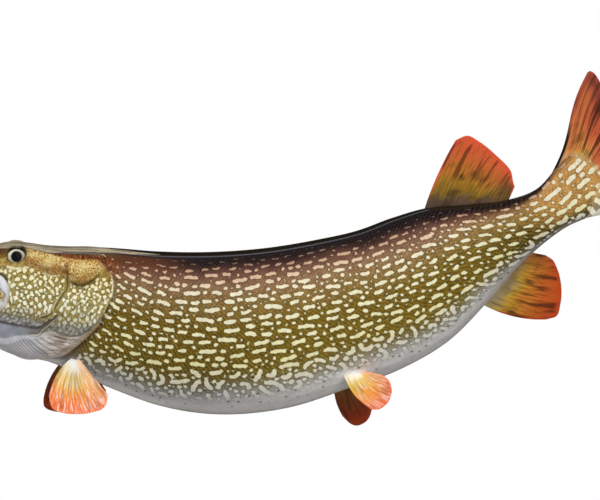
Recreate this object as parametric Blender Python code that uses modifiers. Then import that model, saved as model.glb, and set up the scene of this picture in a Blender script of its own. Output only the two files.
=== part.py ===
"""A mounted northern pike, life size, bent in a rising curve, hung on a wall by a small block at its far flank.

Metres. +X runs from head to tail, +Z is up and +Y runs into the wall. The origin is the middle of the
hanger block's back face, which lies flat on the wall. The fish shows its left side to the room (-Y).

The body is a run of sections along a bent spine. Each section is an upper and a lower half of a squared
oval that meet on the fish's widest line. A place on it has two numbers: the distance s along the spine
from the tip of the lower jaw, and the turn t, from 0 on the back to 0.5 on the widest line and 1 on the
belly.
"""

import math
from collections import namedtuple

import bmesh
import bpy
import numpy as np
from mathutils import Matrix, Vector

# ---------------------------------------------------------------- driving dimensions

GAP = 0.0003  # clearance between neighbouring solids
ROLL_HEAD = math.radians(8.0)  # the back leans towards the room
ROLL_TAIL = math.radians(3.0)

# One row for each section: a point on the widest line, the section's slant in degrees, the height above
# and below that line, and the full width.
Station = namedtuple("Station", "x y z slant above below width")
STATIONS = (
    Station(-0.382, -0.122, 0.035, 0, 0.024, 0.027, 0.050),  # tips of the jaws
    Station(-0.364, -0.121, 0.033, 0, 0.034, 0.037, 0.054),
    Station(-0.340, -0.119, 0.028, 0, 0.047, 0.044, 0.056),  # nostrils
    Station(-0.310, -0.116, 0.023, 0, 0.060, 0.053, 0.060),
    Station(-0.285, -0.113, 0.019, 0, 0.070, 0.0625, 0.066),  # corner of the mouth
    Station(-0.262, -0.110, 0.016, 0, 0.0750, 0.069, 0.074),  # eyes
    Station(-0.225, -0.104, 0.008, 0, 0.0788, 0.0678, 0.086),  # cheeks
    Station(-0.180, -0.097, 0.000, 0, 0.0848, 0.0795, 0.099),  # gill covers
    Station(-0.140, -0.092, -0.0065, 0, 0.0890, 0.0900, 0.108),
    Station(-0.090, -0.088, -0.017, 0, 0.0957, 0.0977, 0.120),  # shoulder
    Station(-0.010, -0.086, -0.023, 2, 0.1013, 0.1040, 0.127),  # deepest
    Station(0.060, -0.084, -0.0165, 8, 0.1003, 0.1032, 0.126),
    Station(0.130, -0.082, 0.001, 13, 0.0943, 0.0975, 0.118),  # pelvic fins
    Station(0.190, -0.081, 0.0195, 18, 0.0898, 0.0932, 0.109),
    Station(0.240, -0.082, 0.0435, 24, 0.0846, 0.0868, 0.096),  # front of the dorsal fin
    Station(0.290, -0.086, 0.0765, 31.5, 0.0675, 0.0708, 0.073),
    Station(0.335, -0.091, 0.0995, 37, 0.0485, 0.0500, 0.051),  # front of the anal fin
    Station(0.372, -0.096, 0.116, 39, 0.0350, 0.0364, 0.037),
    Station(0.405, -0.101, 0.134, 39, 0.0298, 0.0318, 0.026),  # thinnest of the tail stalk
    Station(0.430, -0.105, 0.1528, 38, 0.0355, 0.0388, 0.017),
    Station(0.460, -0.110, 0.1762, 38, 0.0410, 0.0445, 0.006),  # root of the tail fin
)

# How square the sections are, against x: 2 is an ellipse, and more is flatter on top and at the sides.
SQUARE_X = (-0.382, -0.340, -0.262, -0.180, -0.060, 0.190, 0.405)
SQUARE_ABOVE = (2.7, 2.8, 3.0, 2.6, 2.3, 2.2, 2.1)
SQUARE_BELOW = (2.3, 2.2, 2.0, 2.0, 2.2, 2.1, 2.1)

# The mouth stands a little open.
MOUTH_CORNER_X = -0.291
GAPE = 0.028  # between the lips at their tips
UPPER_JAW_SHORTER = 0.006
SNOUT_ROUND = 0.034  # length over which the jaws round off, seen from above
LIP_ROUND = 0.012  # and seen from the side
JAW_SHARES = (0.008, 0.05, 0.13, 0.26, 0.42, 0.58, 0.75, 0.88, 1.0)  # of a jaw's length, at its rings
PALATE_ARCH = 0.006
MOUTH_FLOOR_DEPTH = 0.008
MOUTH_FADE = 0.030  # length over which the palate and the floor flatten out at their two ends
CHEEK_LAP = 0.004  # how far behind the mouth's corner the whole sections start

# Lines round the body as (t, x): the gill openings, and where the lower jaw is parted from the cheek.
GILL_LINE = ((0, -0.168), (0.23, -0.162), (0.40, -0.150), (0.46, -0.148), (0.54, -0.160), (0.67, -0.185),
             (0.79, -0.216), (0.9, -0.243), (1.0, -0.258))
JAW_LINE = ((0.5, MOUTH_CORNER_X), (0.58, -0.265), (0.65, -0.242), (0.75, -0.254), (0.85, -0.270),
            (1.0, -0.282))

# A gill cover as (x, z) corners of its outline, seen square to the head's side.
COVER_OUTLINE = ((-0.203, 0.056), (-0.204, 0.033), (-0.213, 0.019), (-0.220, 0.007), (-0.232, -0.006),
                 (-0.211, -0.019), (-0.186, -0.029), (-0.150, -0.026), (-0.130, 0.000), (-0.125, 0.035),
                 (-0.140, 0.062), (-0.165, 0.070), (-0.188, 0.066))
COVER_INSIDE = 0.033  # from the head's middle plane to a cover's inner face
COVER_REACH = 0.090

TRUNK_SPLIT_X = 0.075
TAIL_STALK_X = 0.325
TAIL_END_X = 0.432  # the fleshy tail ends here at its edges, and bulges into the fin between them
TAIL_BULGE = 0.0175

EYE_X, EYE_Z = -0.2675, 0.077
EYE_SIDEWAYS = 0.0195  # from the head's middle plane to the eyeball's centre
EYE_RADIUS = 0.0135

# Each fin is a fan of rays: (place along its root from 0 to 1, angle in degrees, length).
DORSAL_ROOT_X = (0.242, 0.346)
DORSAL_RAYS = ((0, 66, 0.090), (0.12, 65, 0.105), (0.25, 62, 0.100), (0.5, 58, 0.081), (0.75, 54, 0.057),
               (1, 66, 0.023))
ANAL_ROOT_X = (0.320, 0.379)
ANAL_RAYS = ((0, -14, 0.082), (0.12, -16, 0.089), (0.3, -15, 0.083), (0.55, -12, 0.069), (0.8, -7, 0.053),
             (1, -10, 0.033))
TAIL_AXIS = math.radians(38)
TAIL_ROOT = (0.4016, 0.1287)
TAIL_ROOT_HALF = 0.0362
TAIL_ROOT_ALONG = (0.033, 0.025)  # at the fin's edges, and how much further at its middle
TAIL_RAYS = ((0, 0, 0.055), (0.25, 14.5, 0.070), (0.5, 24, 0.094), (0.8, 30.5, 0.119), (1, 33, 0.135))

# A paired fin's root runs from one (x, t) to another, and its rays spread outwards.
PairedFin = namedtuple("PairedFin", "name side root rays spread")
PAIRED_FINS = (
    PairedFin("pectoral_fin_left", 1, ((-0.198, 0.80), (-0.182, 0.775)),
              ((0, -111, 0.063), (0.2, -99, 0.069), (0.5, -86, 0.071), (0.8, -70, 0.069), (1, -55, 0.057)),
              0.35),
    PairedFin("pectoral_fin_right", -1, ((-0.197, 0.80), (-0.180, 0.775)),
              ((0, -116, 0.070), (0.2, -104, 0.070), (0.5, -90, 0.068), (0.8, -71, 0.066), (1, -54, 0.058)),
              0.30),
    PairedFin("pelvic_fin_left", 1, ((0.124, 0.795), (0.141, 0.785)),
              ((0, -50, 0.060), (0.2, -45, 0.066), (0.5, -35, 0.065), (0.8, -25, 0.056), (1, -17, 0.041)),
              0.55),
    PairedFin("pelvic_fin_right", -1, ((0.121, 0.795), (0.136, 0.785)),
              ((0, -80, 0.056), (0.2, -76, 0.070), (0.5, -71, 0.075), (0.8, -63, 0.070), (1, -54, 0.052)),
              0.25),
)
FIN_ROOT_DEPTH = 0.005  # how far a fin reaches into the body before it is trimmed
FIN_ROOT_THICKNESS = 0.0040
FIN_EDGE_THICKNESS = 0.0012
FIN_BOW = 0.006  # how far the leading ray of a fin bends forward
TAIL_SWEEP = 0.003  # how far the tail fin's edge rays bend, first inwards and then outwards
FIN_LEAN = 0.06
TAIL_LEAN = 0.16

TEETH_A_SIDE = 6
TEETH_S = (0.014, 0.064)  # the first and the last tooth of a row
TEETH_ACROSS = 0.86  # their place between the middle of the jaw and its lip
TOOTH_HEIGHT = 0.009
TOOTH_ROOT = 0.0025
TOOTH_RADIUS = 0.0018
TONGUE = (0.030, 0.011, 0.0045)  # half its length, width and height
TONGUE_S = 0.058

BLOCK = (0.130, 0.060, 0.084)  # hanger block before it is fitted to the flank
BLOCK_BEVEL = 0.003
PLATE = (0.062, 0.002, 0.024)
PLATE_Z = 0.026
KEYHOLE_RADIUS = 0.0052
KEYSLOT_RADIUS = 0.0026
KEYSLOT_LENGTH = 0.008
NAIL_POCKET = (0.016, 0.010, 0.020)

AROUND = 8  # facets on each quarter of a section
COLLECTION = "mounted_pike"

# ---------------------------------------------------------------- the form of the fish

COLUMNS = {name: np.array([getattr(row, name) for row in STATIONS], float) for name in Station._fields}
PLACES = np.stack([COLUMNS["x"], COLUMNS["y"], COLUMNS["z"]], 1)
DISTANCES = np.concatenate([[0.0], np.cumsum(np.linalg.norm(np.diff(PLACES, axis=0), axis=1))])


def smooth(knots, values, at):
    """Read a smooth curve through the values given at the knots."""
    knots, values = np.asarray(knots, float), np.asarray(values, float)
    slopes = np.gradient(values, knots)
    i = np.clip(np.searchsorted(knots, at) - 1, 0, len(knots) - 2)
    step = knots[i + 1] - knots[i]
    u = np.clip((at - knots[i]) / step, 0.0, 1.0)
    start = (1 + 2 * u) * (1 - u) ** 2 * values[i] + u * (1 - u) ** 2 * step * slopes[i]
    end = u * u * (3 - 2 * u) * values[i + 1] + u * u * (u - 1) * step * slopes[i + 1]
    return start + end


def along(name, s):
    return smooth(DISTANCES, COLUMNS[name], s)


def distance_at(x):
    """The distance along the spine at which it passes x."""
    fine = np.linspace(0, DISTANCES[-1], 2000)
    return np.interp(x, along("x", fine), fine)


def axes_at(s):
    """The spine's points, and the sections' left and up directions."""
    slant = np.radians(along("slant", s))
    near = 0.002
    yaw = np.arcsin((along("y", s + near) - along("y", s - near)) / (2 * near))
    roll = ROLL_HEAD + (ROLL_TAIL - ROLL_HEAD) * s / DISTANCES[-1]
    tailward = np.stack([np.cos(slant) * np.cos(yaw), np.sin(yaw), np.sin(slant) * np.cos(yaw)], -1)
    level_up = np.stack([-np.sin(slant), np.zeros_like(s), np.cos(slant)], -1)
    level_left = np.cross(tailward, level_up)
    turn, lean = np.cos(roll)[..., None], np.sin(roll)[..., None]
    spine = np.stack([along("x", s), along("y", s), along("z", s)], -1)
    return spine, level_left * turn - level_up * lean, level_up * turn + level_left * lean


def rounding(s, start, length):
    """Grows from 0 at the start to 1 after the length, as the end of an ellipse does."""
    u = np.clip((s - start) / length, 0.0, 1.0)
    return np.sqrt(1 - (1 - u) ** 2)


def lip_gap(s):
    """Half the mouth's opening."""
    return GAPE / 2 * np.clip(1 - s / distance_at(MOUTH_CORNER_X), 0.0, 1.0) ** 0.7


def across_and_up(s, t, upper, grow):
    """The outer form inside its section: sideways from the middle plane, and up from the widest line."""
    x = along("x", s)
    square = np.where(upper, np.interp(x, SQUARE_X, SQUARE_ABOVE), np.interp(x, SQUARE_X, SQUARE_BELOW))
    turn = np.where(upper, t, 1 - t) * math.pi
    across = np.clip(np.sin(turn), 0, 1) ** (2 / square)
    rise = np.clip(np.cos(turn), 0, 1) ** (2 / square)
    start = np.where(upper, UPPER_JAW_SHORTER, 0.0)
    lip = lip_gap(s)
    height = np.where(upper, along("above", s), along("below", s)) + grow
    middle = (lip + height) / 2
    up = middle + (lip + (height - lip) * rise - middle) * rounding(s, start, LIP_ROUND)
    width = along("width", s) / 2 * rounding(s, start, SNOUT_ROUND) + grow
    return across * width, np.where(upper, up, -up)


def to_world(s, across, up):
    spine, left, top = axes_at(s)
    return spine + across[..., None] * left + up[..., None] * top


def skin_point(s, t, side=1.0, grow=0.0, upper=None):
    """The outer form. The side is 1 on the fish's left and -1 on its right."""
    s, t, side = np.broadcast_arrays(np.asarray(s, float), np.asarray(t, float), np.asarray(side, float))
    across, up = across_and_up(s, t, t <= 0.5 if upper is None else upper, grow)
    return to_world(s, across * side, up)


def mouth_point(s, v, upper):
    """The palate, or the floor of the mouth, from -1 at the right lip to 1 at the left."""
    s, v = np.broadcast_arrays(np.asarray(s, float), np.asarray(v, float))
    lip_across, lip_up = across_and_up(s, np.full_like(s, 0.5), upper, 0.0)
    hollow = PALATE_ARCH if upper else -MOUTH_FLOOR_DEPTH
    behind = distance_at(MOUTH_CORNER_X) - s
    fade = np.clip(s / MOUTH_FADE, 0, 1) * np.clip(behind / MOUTH_FADE, 0, 1)
    return to_world(s, lip_across * v, lip_up + hollow * fade * (1 - v * v))


def line_at(line, t):
    """The distances along the spine, at the turns t, of a line drawn round the body as (t, x) points."""
    return distance_at(smooth([point[0] for point in line], [point[1] for point in line], t))


def crest_distance(t, x):
    """Where the back (t = 0) or the belly (t = 1) passes x."""
    fine = np.linspace(distance_at(-0.2), DISTANCES[-1], 1500)
    return np.interp(x, skin_point(fine, t)[:, 0], fine)


# ---------------------------------------------------------------- making solids


def new_material(name, colour, roughness, metallic):
    made = bpy.data.materials.new(name)
    made.use_nodes = True
    made.diffuse_color = (*colour, 1.0)
    shader = made.node_tree.nodes["Principled BSDF"]
    shader.inputs["Base Color"].default_value = (*colour, 1.0)
    shader.inputs["Roughness"].default_value = roughness
    shader.inputs["Metallic"].default_value = metallic
    return made


def new_object(name, bm, origin, collection):
    """Turn a bmesh modelled in world places into an object with its origin at the place given."""
    bmesh.ops.translate(bm, verts=bm.verts, vec=-Vector(origin))
    mesh = bpy.data.meshes.new(name)
    bm.to_mesh(mesh)
    bm.free()
    mesh.shade_smooth()
    mesh.set_sharp_from_angle(angle=math.radians(40))
    made = bpy.data.objects.new(name, mesh)
    made.location = origin
    collection.objects.link(made)
    return made


def new_part(name, bm, colour, roughness=0.25, metallic=0.0, origin=(0, 0, 0)):
    made = new_object(name, bm, origin, bpy.data.collections[COLLECTION])
    made.data.materials.append(new_material(name, colour, roughness, metallic))
    made.parent = bpy.data.objects["wall"]
    return made


def new_cutter(name, bm, origin=(0, 0, 0)):
    made = new_object(name, bm, origin, bpy.data.collections["cutters"])
    made.hide_render = True
    made.display_type = "WIRE"
    return made


def cut(part, cutter, operation="DIFFERENCE"):
    boolean = part.modifiers.new(f"{operation.lower()}_{cutter.name}", "BOOLEAN")
    boolean.operation = operation
    boolean.solver = "EXACT"
    boolean.object = cutter


def close_round(bm, row):
    """Close a ring to its middle."""
    bmesh.ops.poke(bm, faces=[bm.faces.new(row)])


def close_across(bm, row):
    """Close a ring that starts at its left with a strip from its left points to its right ones."""
    quarter = len(row) // 4
    pairs = [(row[quarter - i], row[(quarter + i) % len(row)]) for i in range(2 * quarter + 1)]
    for (left, right), (next_left, next_right) in zip(pairs, pairs[1:]):
        corners = [left, right, next_right, next_left]
        bm.faces.new([vert for i, vert in enumerate(corners) if vert not in corners[:i]])


def close_between(bm, row):
    """Close a jaw's ring with a strip between its outside and its inside."""
    half = len(row) // 2
    outside, inside = row[: half + 1], [row[0], *reversed(row[half + 1 :]), row[half]]
    for j in range(half):
        corners = [outside[j], outside[j + 1], inside[j + 1], inside[j]]
        bm.faces.new([vert for i, vert in enumerate(corners) if vert not in corners[:i]])


def loft(rings, *closings):
    """Skin a run of rings that have the same number of points, and close its ends."""
    bm = bmesh.new()
    rows = [[bm.verts.new(point) for point in ring] for ring in rings]
    count = len(rows[0])
    for row, following in zip(rows, rows[1:]):
        for j in range(count):
            k = (j + 1) % count
            bm.faces.new((row[j], row[k], following[k], following[j]))
    for closing, row in zip(closings, (rows[0], rows[-1])):
        closing(bm, row)
    bmesh.ops.recalc_face_normals(bm, faces=bm.faces)
    return bm


def half_turns():
    """The turns and sides of the points from the left of the widest line, over the back, to the right."""
    over = np.linspace(-0.5, 0.5, 2 * AROUND + 1)
    return np.abs(over), np.where(over < 0, 1.0, -1.0)


def body_rings(start, end, count, grow=0.0):
    """Closed rings between two lines round the body. Each line is a function of the turn."""
    over, over_sides = half_turns()
    turns = np.concatenate([over, 1 - over[1:-1]])
    sides = np.concatenate([over_sides, -over_sides[1:-1]])
    first, last = start(turns), end(turns)
    shares = np.linspace(0, 1, count)
    return [skin_point(first + (last - first) * share, turns, sides, grow) for share in shares]


def jaw_ring(s_outside, s_inside, upper):
    """A closed ring round one jaw: its outside from left lip to right, and back over its inside."""
    over, sides = half_turns()
    turns = over if upper else 1 - over
    outside = skin_point(s_outside, turns, sides, upper=np.full(len(turns), upper))
    inner = np.linspace(-1, 1, 2 * AROUND + 1)[1:-1]
    return np.concatenate([outside, mouth_point(s_inside, inner, upper)])


# ---------------------------------------------------------------- head and trunk


def head_solid():
    """The skull, snout, cheeks and throat, without the lower jaw."""
    corner = distance_at(MOUTH_CORNER_X)
    snout = [UPPER_JAW_SHORTER + (corner - UPPER_JAW_SHORTER) * share for share in JAW_SHARES]
    rings = [jaw_ring(s, s, True) for s in snout]
    return loft(rings + cheek_rings(), close_round, close_across)


def make_head():
    head = new_part("head", head_solid(), (0.34, 0.27, 0.08))
    for name, side in (("left", 1), ("right", -1)):
        cover = new_part(f"gill_cover_{name}", head_solid(), (0.45, 0.40, 0.16))
        cut(cover, cover_prism(f"cover_shape_{name}", side, 0.0), "INTERSECT")
        cut(head, cover_prism(f"cover_seat_{name}", side, 2 * GAP))
        cut(head, make_eye(name, side))


def cover_prism(name, side, grow):
    """The outline of a gill cover, run out sideways from inside the head."""
    corners = np.array(COVER_OUTLINE)
    middle = corners.mean(axis=0)
    outward_way = corners - middle
    corners = corners + outward_way / np.linalg.norm(outward_way, axis=1)[:, None] * grow
    s = distance_at(corners[:, 0])
    up = corners[:, 1] - along("z", s)
    inner = to_world(s, np.full(len(s), side * (COVER_INSIDE - grow)), up)
    outer = to_world(s, np.full(len(s), side * COVER_REACH), up)
    return new_cutter(name, loft([inner, outer], close_round, close_round))


def make_eye(name, side):
    """An eyeball, and the cutter of its socket."""
    s = distance_at(np.array([EYE_X]))
    centre = to_world(s, np.array([side * EYE_SIDEWAYS]), EYE_Z - along("z", s))[0]
    for radius, part in ((EYE_RADIUS, True), (EYE_RADIUS + GAP, False)):
        bm = bmesh.new()
        place = Matrix.Translation(centre)
        bmesh.ops.create_uvsphere(bm, u_segments=16, v_segments=10, radius=radius, matrix=place)
        if part:
            new_part(f"eye_{name}", bm, (0.75, 0.68, 0.50), 0.05, origin=centre)
    return new_cutter(f"eye_socket_{name}", bm, centre)


def make_lower_jaw():
    """The jaw's outside runs back to its joint under the cheek, and its floor to the mouth's corner."""
    over, _ = half_turns()
    back_outside = line_at(JAW_LINE, np.clip(1 - over, 0.5, 1.0)) - GAP
    back_inside = distance_at(MOUTH_CORNER_X) - 2 * GAP
    rings = [jaw_ring(back_outside * share, back_inside * share, False) for share in JAW_SHARES]
    jaw = new_part("lower_jaw", loft(rings, close_round, close_between), (0.55, 0.52, 0.40))
    cut(jaw, new_cutter("teeth", teeth()), "UNION")
    cut(jaw, new_cutter("tongue", tongue()), "UNION")


def teeth():
    """Fangs along both sides of the lower jaw, taller towards the middle of the row."""
    bm = bmesh.new()
    for share in np.linspace(0, 1, TEETH_A_SIDE):
        s = np.array([TEETH_S[0] + (TEETH_S[1] - TEETH_S[0]) * share])
        height = TOOTH_HEIGHT * (0.65 + 0.35 * math.sin(math.pi * share)) + TOOTH_ROOT
        for side in (1, -1):
            gum = Vector(mouth_point(s, np.array([side * TEETH_ACROSS]), False)[0])
            place = Matrix.Translation(gum + Vector((0, 0, height / 2 - TOOTH_ROOT)))
            bmesh.ops.create_cone(
                bm, cap_ends=True, segments=6, radius1=TOOTH_RADIUS, radius2=TOOTH_RADIUS * 0.15,
                depth=height, matrix=place,
            )
    return bm


def tongue():
    bm = bmesh.new()
    root = mouth_point(np.array([TONGUE_S]), np.array([0.0]), False)[0]
    place = Matrix.LocRotScale(Vector(root), None, Vector(TONGUE))
    bmesh.ops.create_uvsphere(bm, u_segments=12, v_segments=8, radius=1.0, matrix=place)
    return bm


def cheek_rings(grow=0.0):
    """The head behind the mouth's corner: it starts at the lower jaw's seam and ends at the gills."""
    corner = distance_at(MOUTH_CORNER_X)
    return body_rings(
        lambda t: np.where(t <= 0.5, corner + CHEEK_LAP, line_at(JAW_LINE, np.maximum(t, 0.5)) + 2 * GAP),
        lambda t: line_at(GILL_LINE, t) - GAP,
        10,
        grow,
    )


def tail_end(t):
    """The fleshy tail's rounded end."""
    return distance_at(TAIL_END_X + TAIL_BULGE * np.sin(math.pi * t))


def trunk_rings(grow=0.0):
    """Three runs of rings behind the gill openings, ending at the tail."""
    split, stalk = distance_at(TRUNK_SPLIT_X), distance_at(TAIL_STALK_X)
    front = body_rings(
        lambda t: line_at(GILL_LINE, t) + 2 * GAP, lambda t: np.full(len(t), split - GAP / 2), 11, grow
    )
    rear = body_rings(
        lambda t: np.full(len(t), split + GAP / 2), lambda t: np.full(len(t), stalk - GAP / 2), 12, grow
    )
    tail = body_rings(
        lambda t: np.full(len(t), stalk + GAP / 2), lambda t: tail_end(t) + grow, 8, grow
    )
    return front, rear, tail


def make_trunk():
    names = ("trunk_front", "trunk_rear", "tail_stalk")
    colours = ((0.36, 0.29, 0.08), (0.34, 0.26, 0.08), (0.42, 0.32, 0.12))
    for name, rings, colour in zip(names, trunk_rings(), colours):
        new_part(name, loft(rings, close_across, close_across), colour)


def make_body_cutter():
    """The body from the mouth's corner to the tail, a little larger all round."""
    rings = cheek_rings(2 * GAP)
    for run in trunk_rings(2 * GAP):
        rings += run
    return new_cutter("body_room", loft(rings, close_across, close_across))


# ---------------------------------------------------------------- fins


def fan_fin(name, root, rays, out_lean, bow, colour, trim, ray_steps=6, root_steps=11):
    """A thin fan on a root line. The root is a function of the place q from 0 to 1, and each ray leaves
    it in the plane of the wall at its own angle, bends in that plane by bow(q, r) and leans out of it."""
    places, angles, lengths = (np.array(column, float) for column in zip(*rays))
    bm = bmesh.new()
    bmesh.ops.create_grid(bm, x_segments=root_steps, y_segments=ray_steps, size=0.5)
    q = np.array([v.co.x + 0.5 for v in bm.verts])
    r = np.array([v.co.y + 0.5 for v in bm.verts])
    angle = np.radians(smooth(places, angles, q))
    length = smooth(places, lengths, q)
    way = np.stack([np.cos(angle), np.zeros_like(q), np.sin(angle)], 1)
    square = np.stack([-np.sin(angle), np.zeros_like(q), np.cos(angle)], 1)
    points = root(q) + way * (r * length)[:, None] + square * bow(q, r)[:, None]
    points[:, 1] += out_lean * r * length
    layer = bm.verts.layers.deform.new()
    for vert, point, share in zip(bm.verts, points, r):
        vert.co = point
        vert[layer][0] = 1 - share
    bmesh.ops.recalc_face_normals(bm, faces=bm.faces)
    fin = new_part(name, bm, colour, origin=points.mean(axis=0))
    fin.vertex_groups.new(name="thickness")
    wall = fin.modifiers.new("thickness", "SOLIDIFY")
    wall.thickness = FIN_ROOT_THICKNESS
    wall.offset = 0.0
    wall.vertex_group = "thickness"
    wall.thickness_vertex_group = FIN_EDGE_THICKNESS / FIN_ROOT_THICKNESS
    cut(fin, trim)
    return fin


def forward_bow(q, r):
    """Bends the rays at the front of a fin forward, whose angles turn clockwise towards its rear."""
    return FIN_BOW * 4 * r * (1 - r) * (1 - q)


def tail_bow(q, r):
    return -TAIL_SWEEP * np.sin(2 * math.pi * r) * (2 * q - 1)


def crest_root(t, x_ends):
    """A root along the back or the belly, a little way inside the body."""
    s_front, s_rear = crest_distance(t, x_ends[0]), crest_distance(t, x_ends[1])

    def root(q):
        s = s_front + (s_rear - s_front) * q
        _, _, up = axes_at(s)
        return skin_point(s, t) - up * (FIN_ROOT_DEPTH if t < 0.5 else -FIN_ROOT_DEPTH)

    return root


def make_median_fins(trim):
    fan_fin("dorsal_fin", crest_root(0.0, DORSAL_ROOT_X), DORSAL_RAYS, -FIN_LEAN, forward_bow,
            (0.75, 0.22, 0.07), trim)
    fan_fin("anal_fin", crest_root(1.0, ANAL_ROOT_X), ANAL_RAYS, FIN_LEAN,
            lambda q, r: -forward_bow(q, r), (0.80, 0.25, 0.06), trim)
    axis = np.array([math.cos(TAIL_AXIS), 0, math.sin(TAIL_AXIS)])
    upward = np.array([-math.sin(TAIL_AXIS), 0, math.cos(TAIL_AXIS)])
    start = np.array([TAIL_ROOT[0], 0, TAIL_ROOT[1]])
    rays = [(0.5 - place / 2, -angle, length) for place, angle, length in TAIL_RAYS[:0:-1]]
    rays += [(0.5 + place / 2, angle, length) for place, angle, length in TAIL_RAYS]
    rays = [(place, angle + math.degrees(TAIL_AXIS), length) for place, angle, length in rays]

    def root(q):
        edge = 2 * q - 1
        ahead = TAIL_ROOT_ALONG[0] + TAIL_ROOT_ALONG[1] * np.sqrt(1 - edge**2)
        points = start + axis * ahead[:, None] + upward * (TAIL_ROOT_HALF * edge)[:, None]
        points[:, 1] = along("y", distance_at(points[:, 0]))
        return points

    fan_fin("tail_fin", root, rays, -TAIL_LEAN, tail_bow, (0.72, 0.28, 0.10), trim,
            ray_steps=7, root_steps=16)


def make_paired_fins(trim):
    for fin in PAIRED_FINS:
        (front_x, front_t), (rear_x, rear_t) = fin.root

        def root(q, fin=fin, ends=(front_x, front_t, rear_x, rear_t)):
            s = distance_at(ends[0] + (ends[2] - ends[0]) * q)
            t = ends[1] + (ends[3] - ends[1]) * q
            surface = skin_point(s, t, fin.side)
            inside = skin_point(s, t, fin.side, grow=-FIN_ROOT_DEPTH)
            return surface + (inside - surface) / np.linalg.norm(inside - surface, axis=1)[:, None] * (
                FIN_ROOT_DEPTH
            )

        fan_fin(fin.name, root, fin.rays, -fin.side * fin.spread,
                lambda q, r: -forward_bow(q, r), (0.85, 0.40, 0.12), trim)


# ---------------------------------------------------------------- hanger


def box(size, centre):
    bm = bmesh.new()
    place = Matrix.LocRotScale(Vector(centre), None, Vector(size))
    bmesh.ops.create_cube(bm, size=1.0, matrix=place)
    return bm


def keyhole():
    """A round hole for a nail's head, with a narrow slot above it."""
    bm = bmesh.new()
    depth = PLATE[1] * 4
    turn = Matrix.Rotation(math.radians(90), 4, "X")
    low = PLATE_Z - KEYSLOT_LENGTH / 2
    for radius, z in ((KEYHOLE_RADIUS, low), (KEYSLOT_RADIUS, low + KEYSLOT_LENGTH)):
        place = Matrix.Translation((0, 0, z)) @ turn
        bmesh.ops.create_cone(
            bm, cap_ends=True, segments=20, radius1=radius, radius2=radius, depth=depth, matrix=place
        )
    return bm


def make_hanger(trim):
    bm = box(BLOCK, (0, -BLOCK[1] / 2, 0))
    block = new_part("hanger_block", bm, (0.45, 0.27, 0.13), 0.6)
    bevel = block.modifiers.new("edges", "BEVEL")
    bevel.width = BLOCK_BEVEL
    bevel.segments = 2
    cut(block, trim)
    seat = (PLATE[0] + 2 * GAP, PLATE[1] + GAP, PLATE[2] + 2 * GAP)
    cut(block, new_cutter("plate_seat", box((seat[0], 2 * seat[1], seat[2]), (0, 0, PLATE_Z))))
    cut(block, new_cutter("nail_pocket", box((NAIL_POCKET[0], 2 * NAIL_POCKET[1], NAIL_POCKET[2]),
                                             (0, 0, PLATE_Z))))
    plate = new_part("hanger_plate", box(PLATE, (0, -PLATE[1] / 2, PLATE_Z)), (0.6, 0.6, 0.6), 0.35, 1.0)
    slot = box((2 * KEYSLOT_RADIUS, PLATE[1] * 4, KEYSLOT_LENGTH), (0, 0, PLATE_Z + KEYSLOT_LENGTH / 2))
    cut(plate, new_cutter("keyhole", keyhole()))
    cut(plate, new_cutter("keyslot", slot))


def main():
    for old in list(bpy.data.objects):
        bpy.data.objects.remove(old)
    for name in (COLLECTION, "cutters"):
        bpy.context.scene.collection.children.link(bpy.data.collections.new(name))
    wall = bpy.data.objects.new("wall", None)
    bpy.data.collections[COLLECTION].objects.link(wall)
    make_head()
    make_lower_jaw()
    make_trunk()
    body_room = make_body_cutter()
    make_median_fins(body_room)
    make_paired_fins(body_room)
    make_hanger(body_room)


main()
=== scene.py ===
"""Dresses the solids of a mounted northern pike: one skin with its relief, a coat of scales, rayed fins,
glass eyes, teeth and a tongue, and the finish of the hanger, with a pale floor, soft light and a camera.

A place on the fish has two numbers, as in the solids: the distance s along the spine from the tip of the
lower jaw, and the turn t, from 0 on the back to 0.5 on the widest line and 1 on the belly. The girth g is
the length of skin from the back down to that place. Metres throughout.
"""

import math
from collections import namedtuple

import bmesh
import bpy
import numpy as np
from bpy.props import FloatProperty, PointerProperty
from mathutils import Matrix, Vector


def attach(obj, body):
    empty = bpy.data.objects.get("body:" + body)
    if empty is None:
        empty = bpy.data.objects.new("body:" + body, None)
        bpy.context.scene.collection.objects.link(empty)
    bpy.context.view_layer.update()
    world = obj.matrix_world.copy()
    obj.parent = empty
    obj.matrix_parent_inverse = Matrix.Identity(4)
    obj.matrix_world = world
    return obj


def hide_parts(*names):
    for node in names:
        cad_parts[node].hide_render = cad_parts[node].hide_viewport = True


bl_info = {
    "name": "Mounted Pike",
    "version": (1, 0, 0),
    "blender": (4, 5, 0),
    "location": "3D View > Sidebar > Pike",
    "description": "Dresses the solids of a mounted pike with skin, scales, rayed fins and glass eyes",
    "category": "Add Mesh",
}

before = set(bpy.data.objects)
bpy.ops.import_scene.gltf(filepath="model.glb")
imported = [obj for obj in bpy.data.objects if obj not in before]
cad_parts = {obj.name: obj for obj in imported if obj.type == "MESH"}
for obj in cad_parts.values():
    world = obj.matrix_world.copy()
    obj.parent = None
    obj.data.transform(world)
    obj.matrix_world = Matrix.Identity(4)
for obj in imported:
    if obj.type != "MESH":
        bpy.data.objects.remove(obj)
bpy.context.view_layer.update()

# ---------------------------------------------------------------- the form of the fish

ROLL_HEAD = math.radians(8.0)
ROLL_TAIL = math.radians(3.0)

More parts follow.
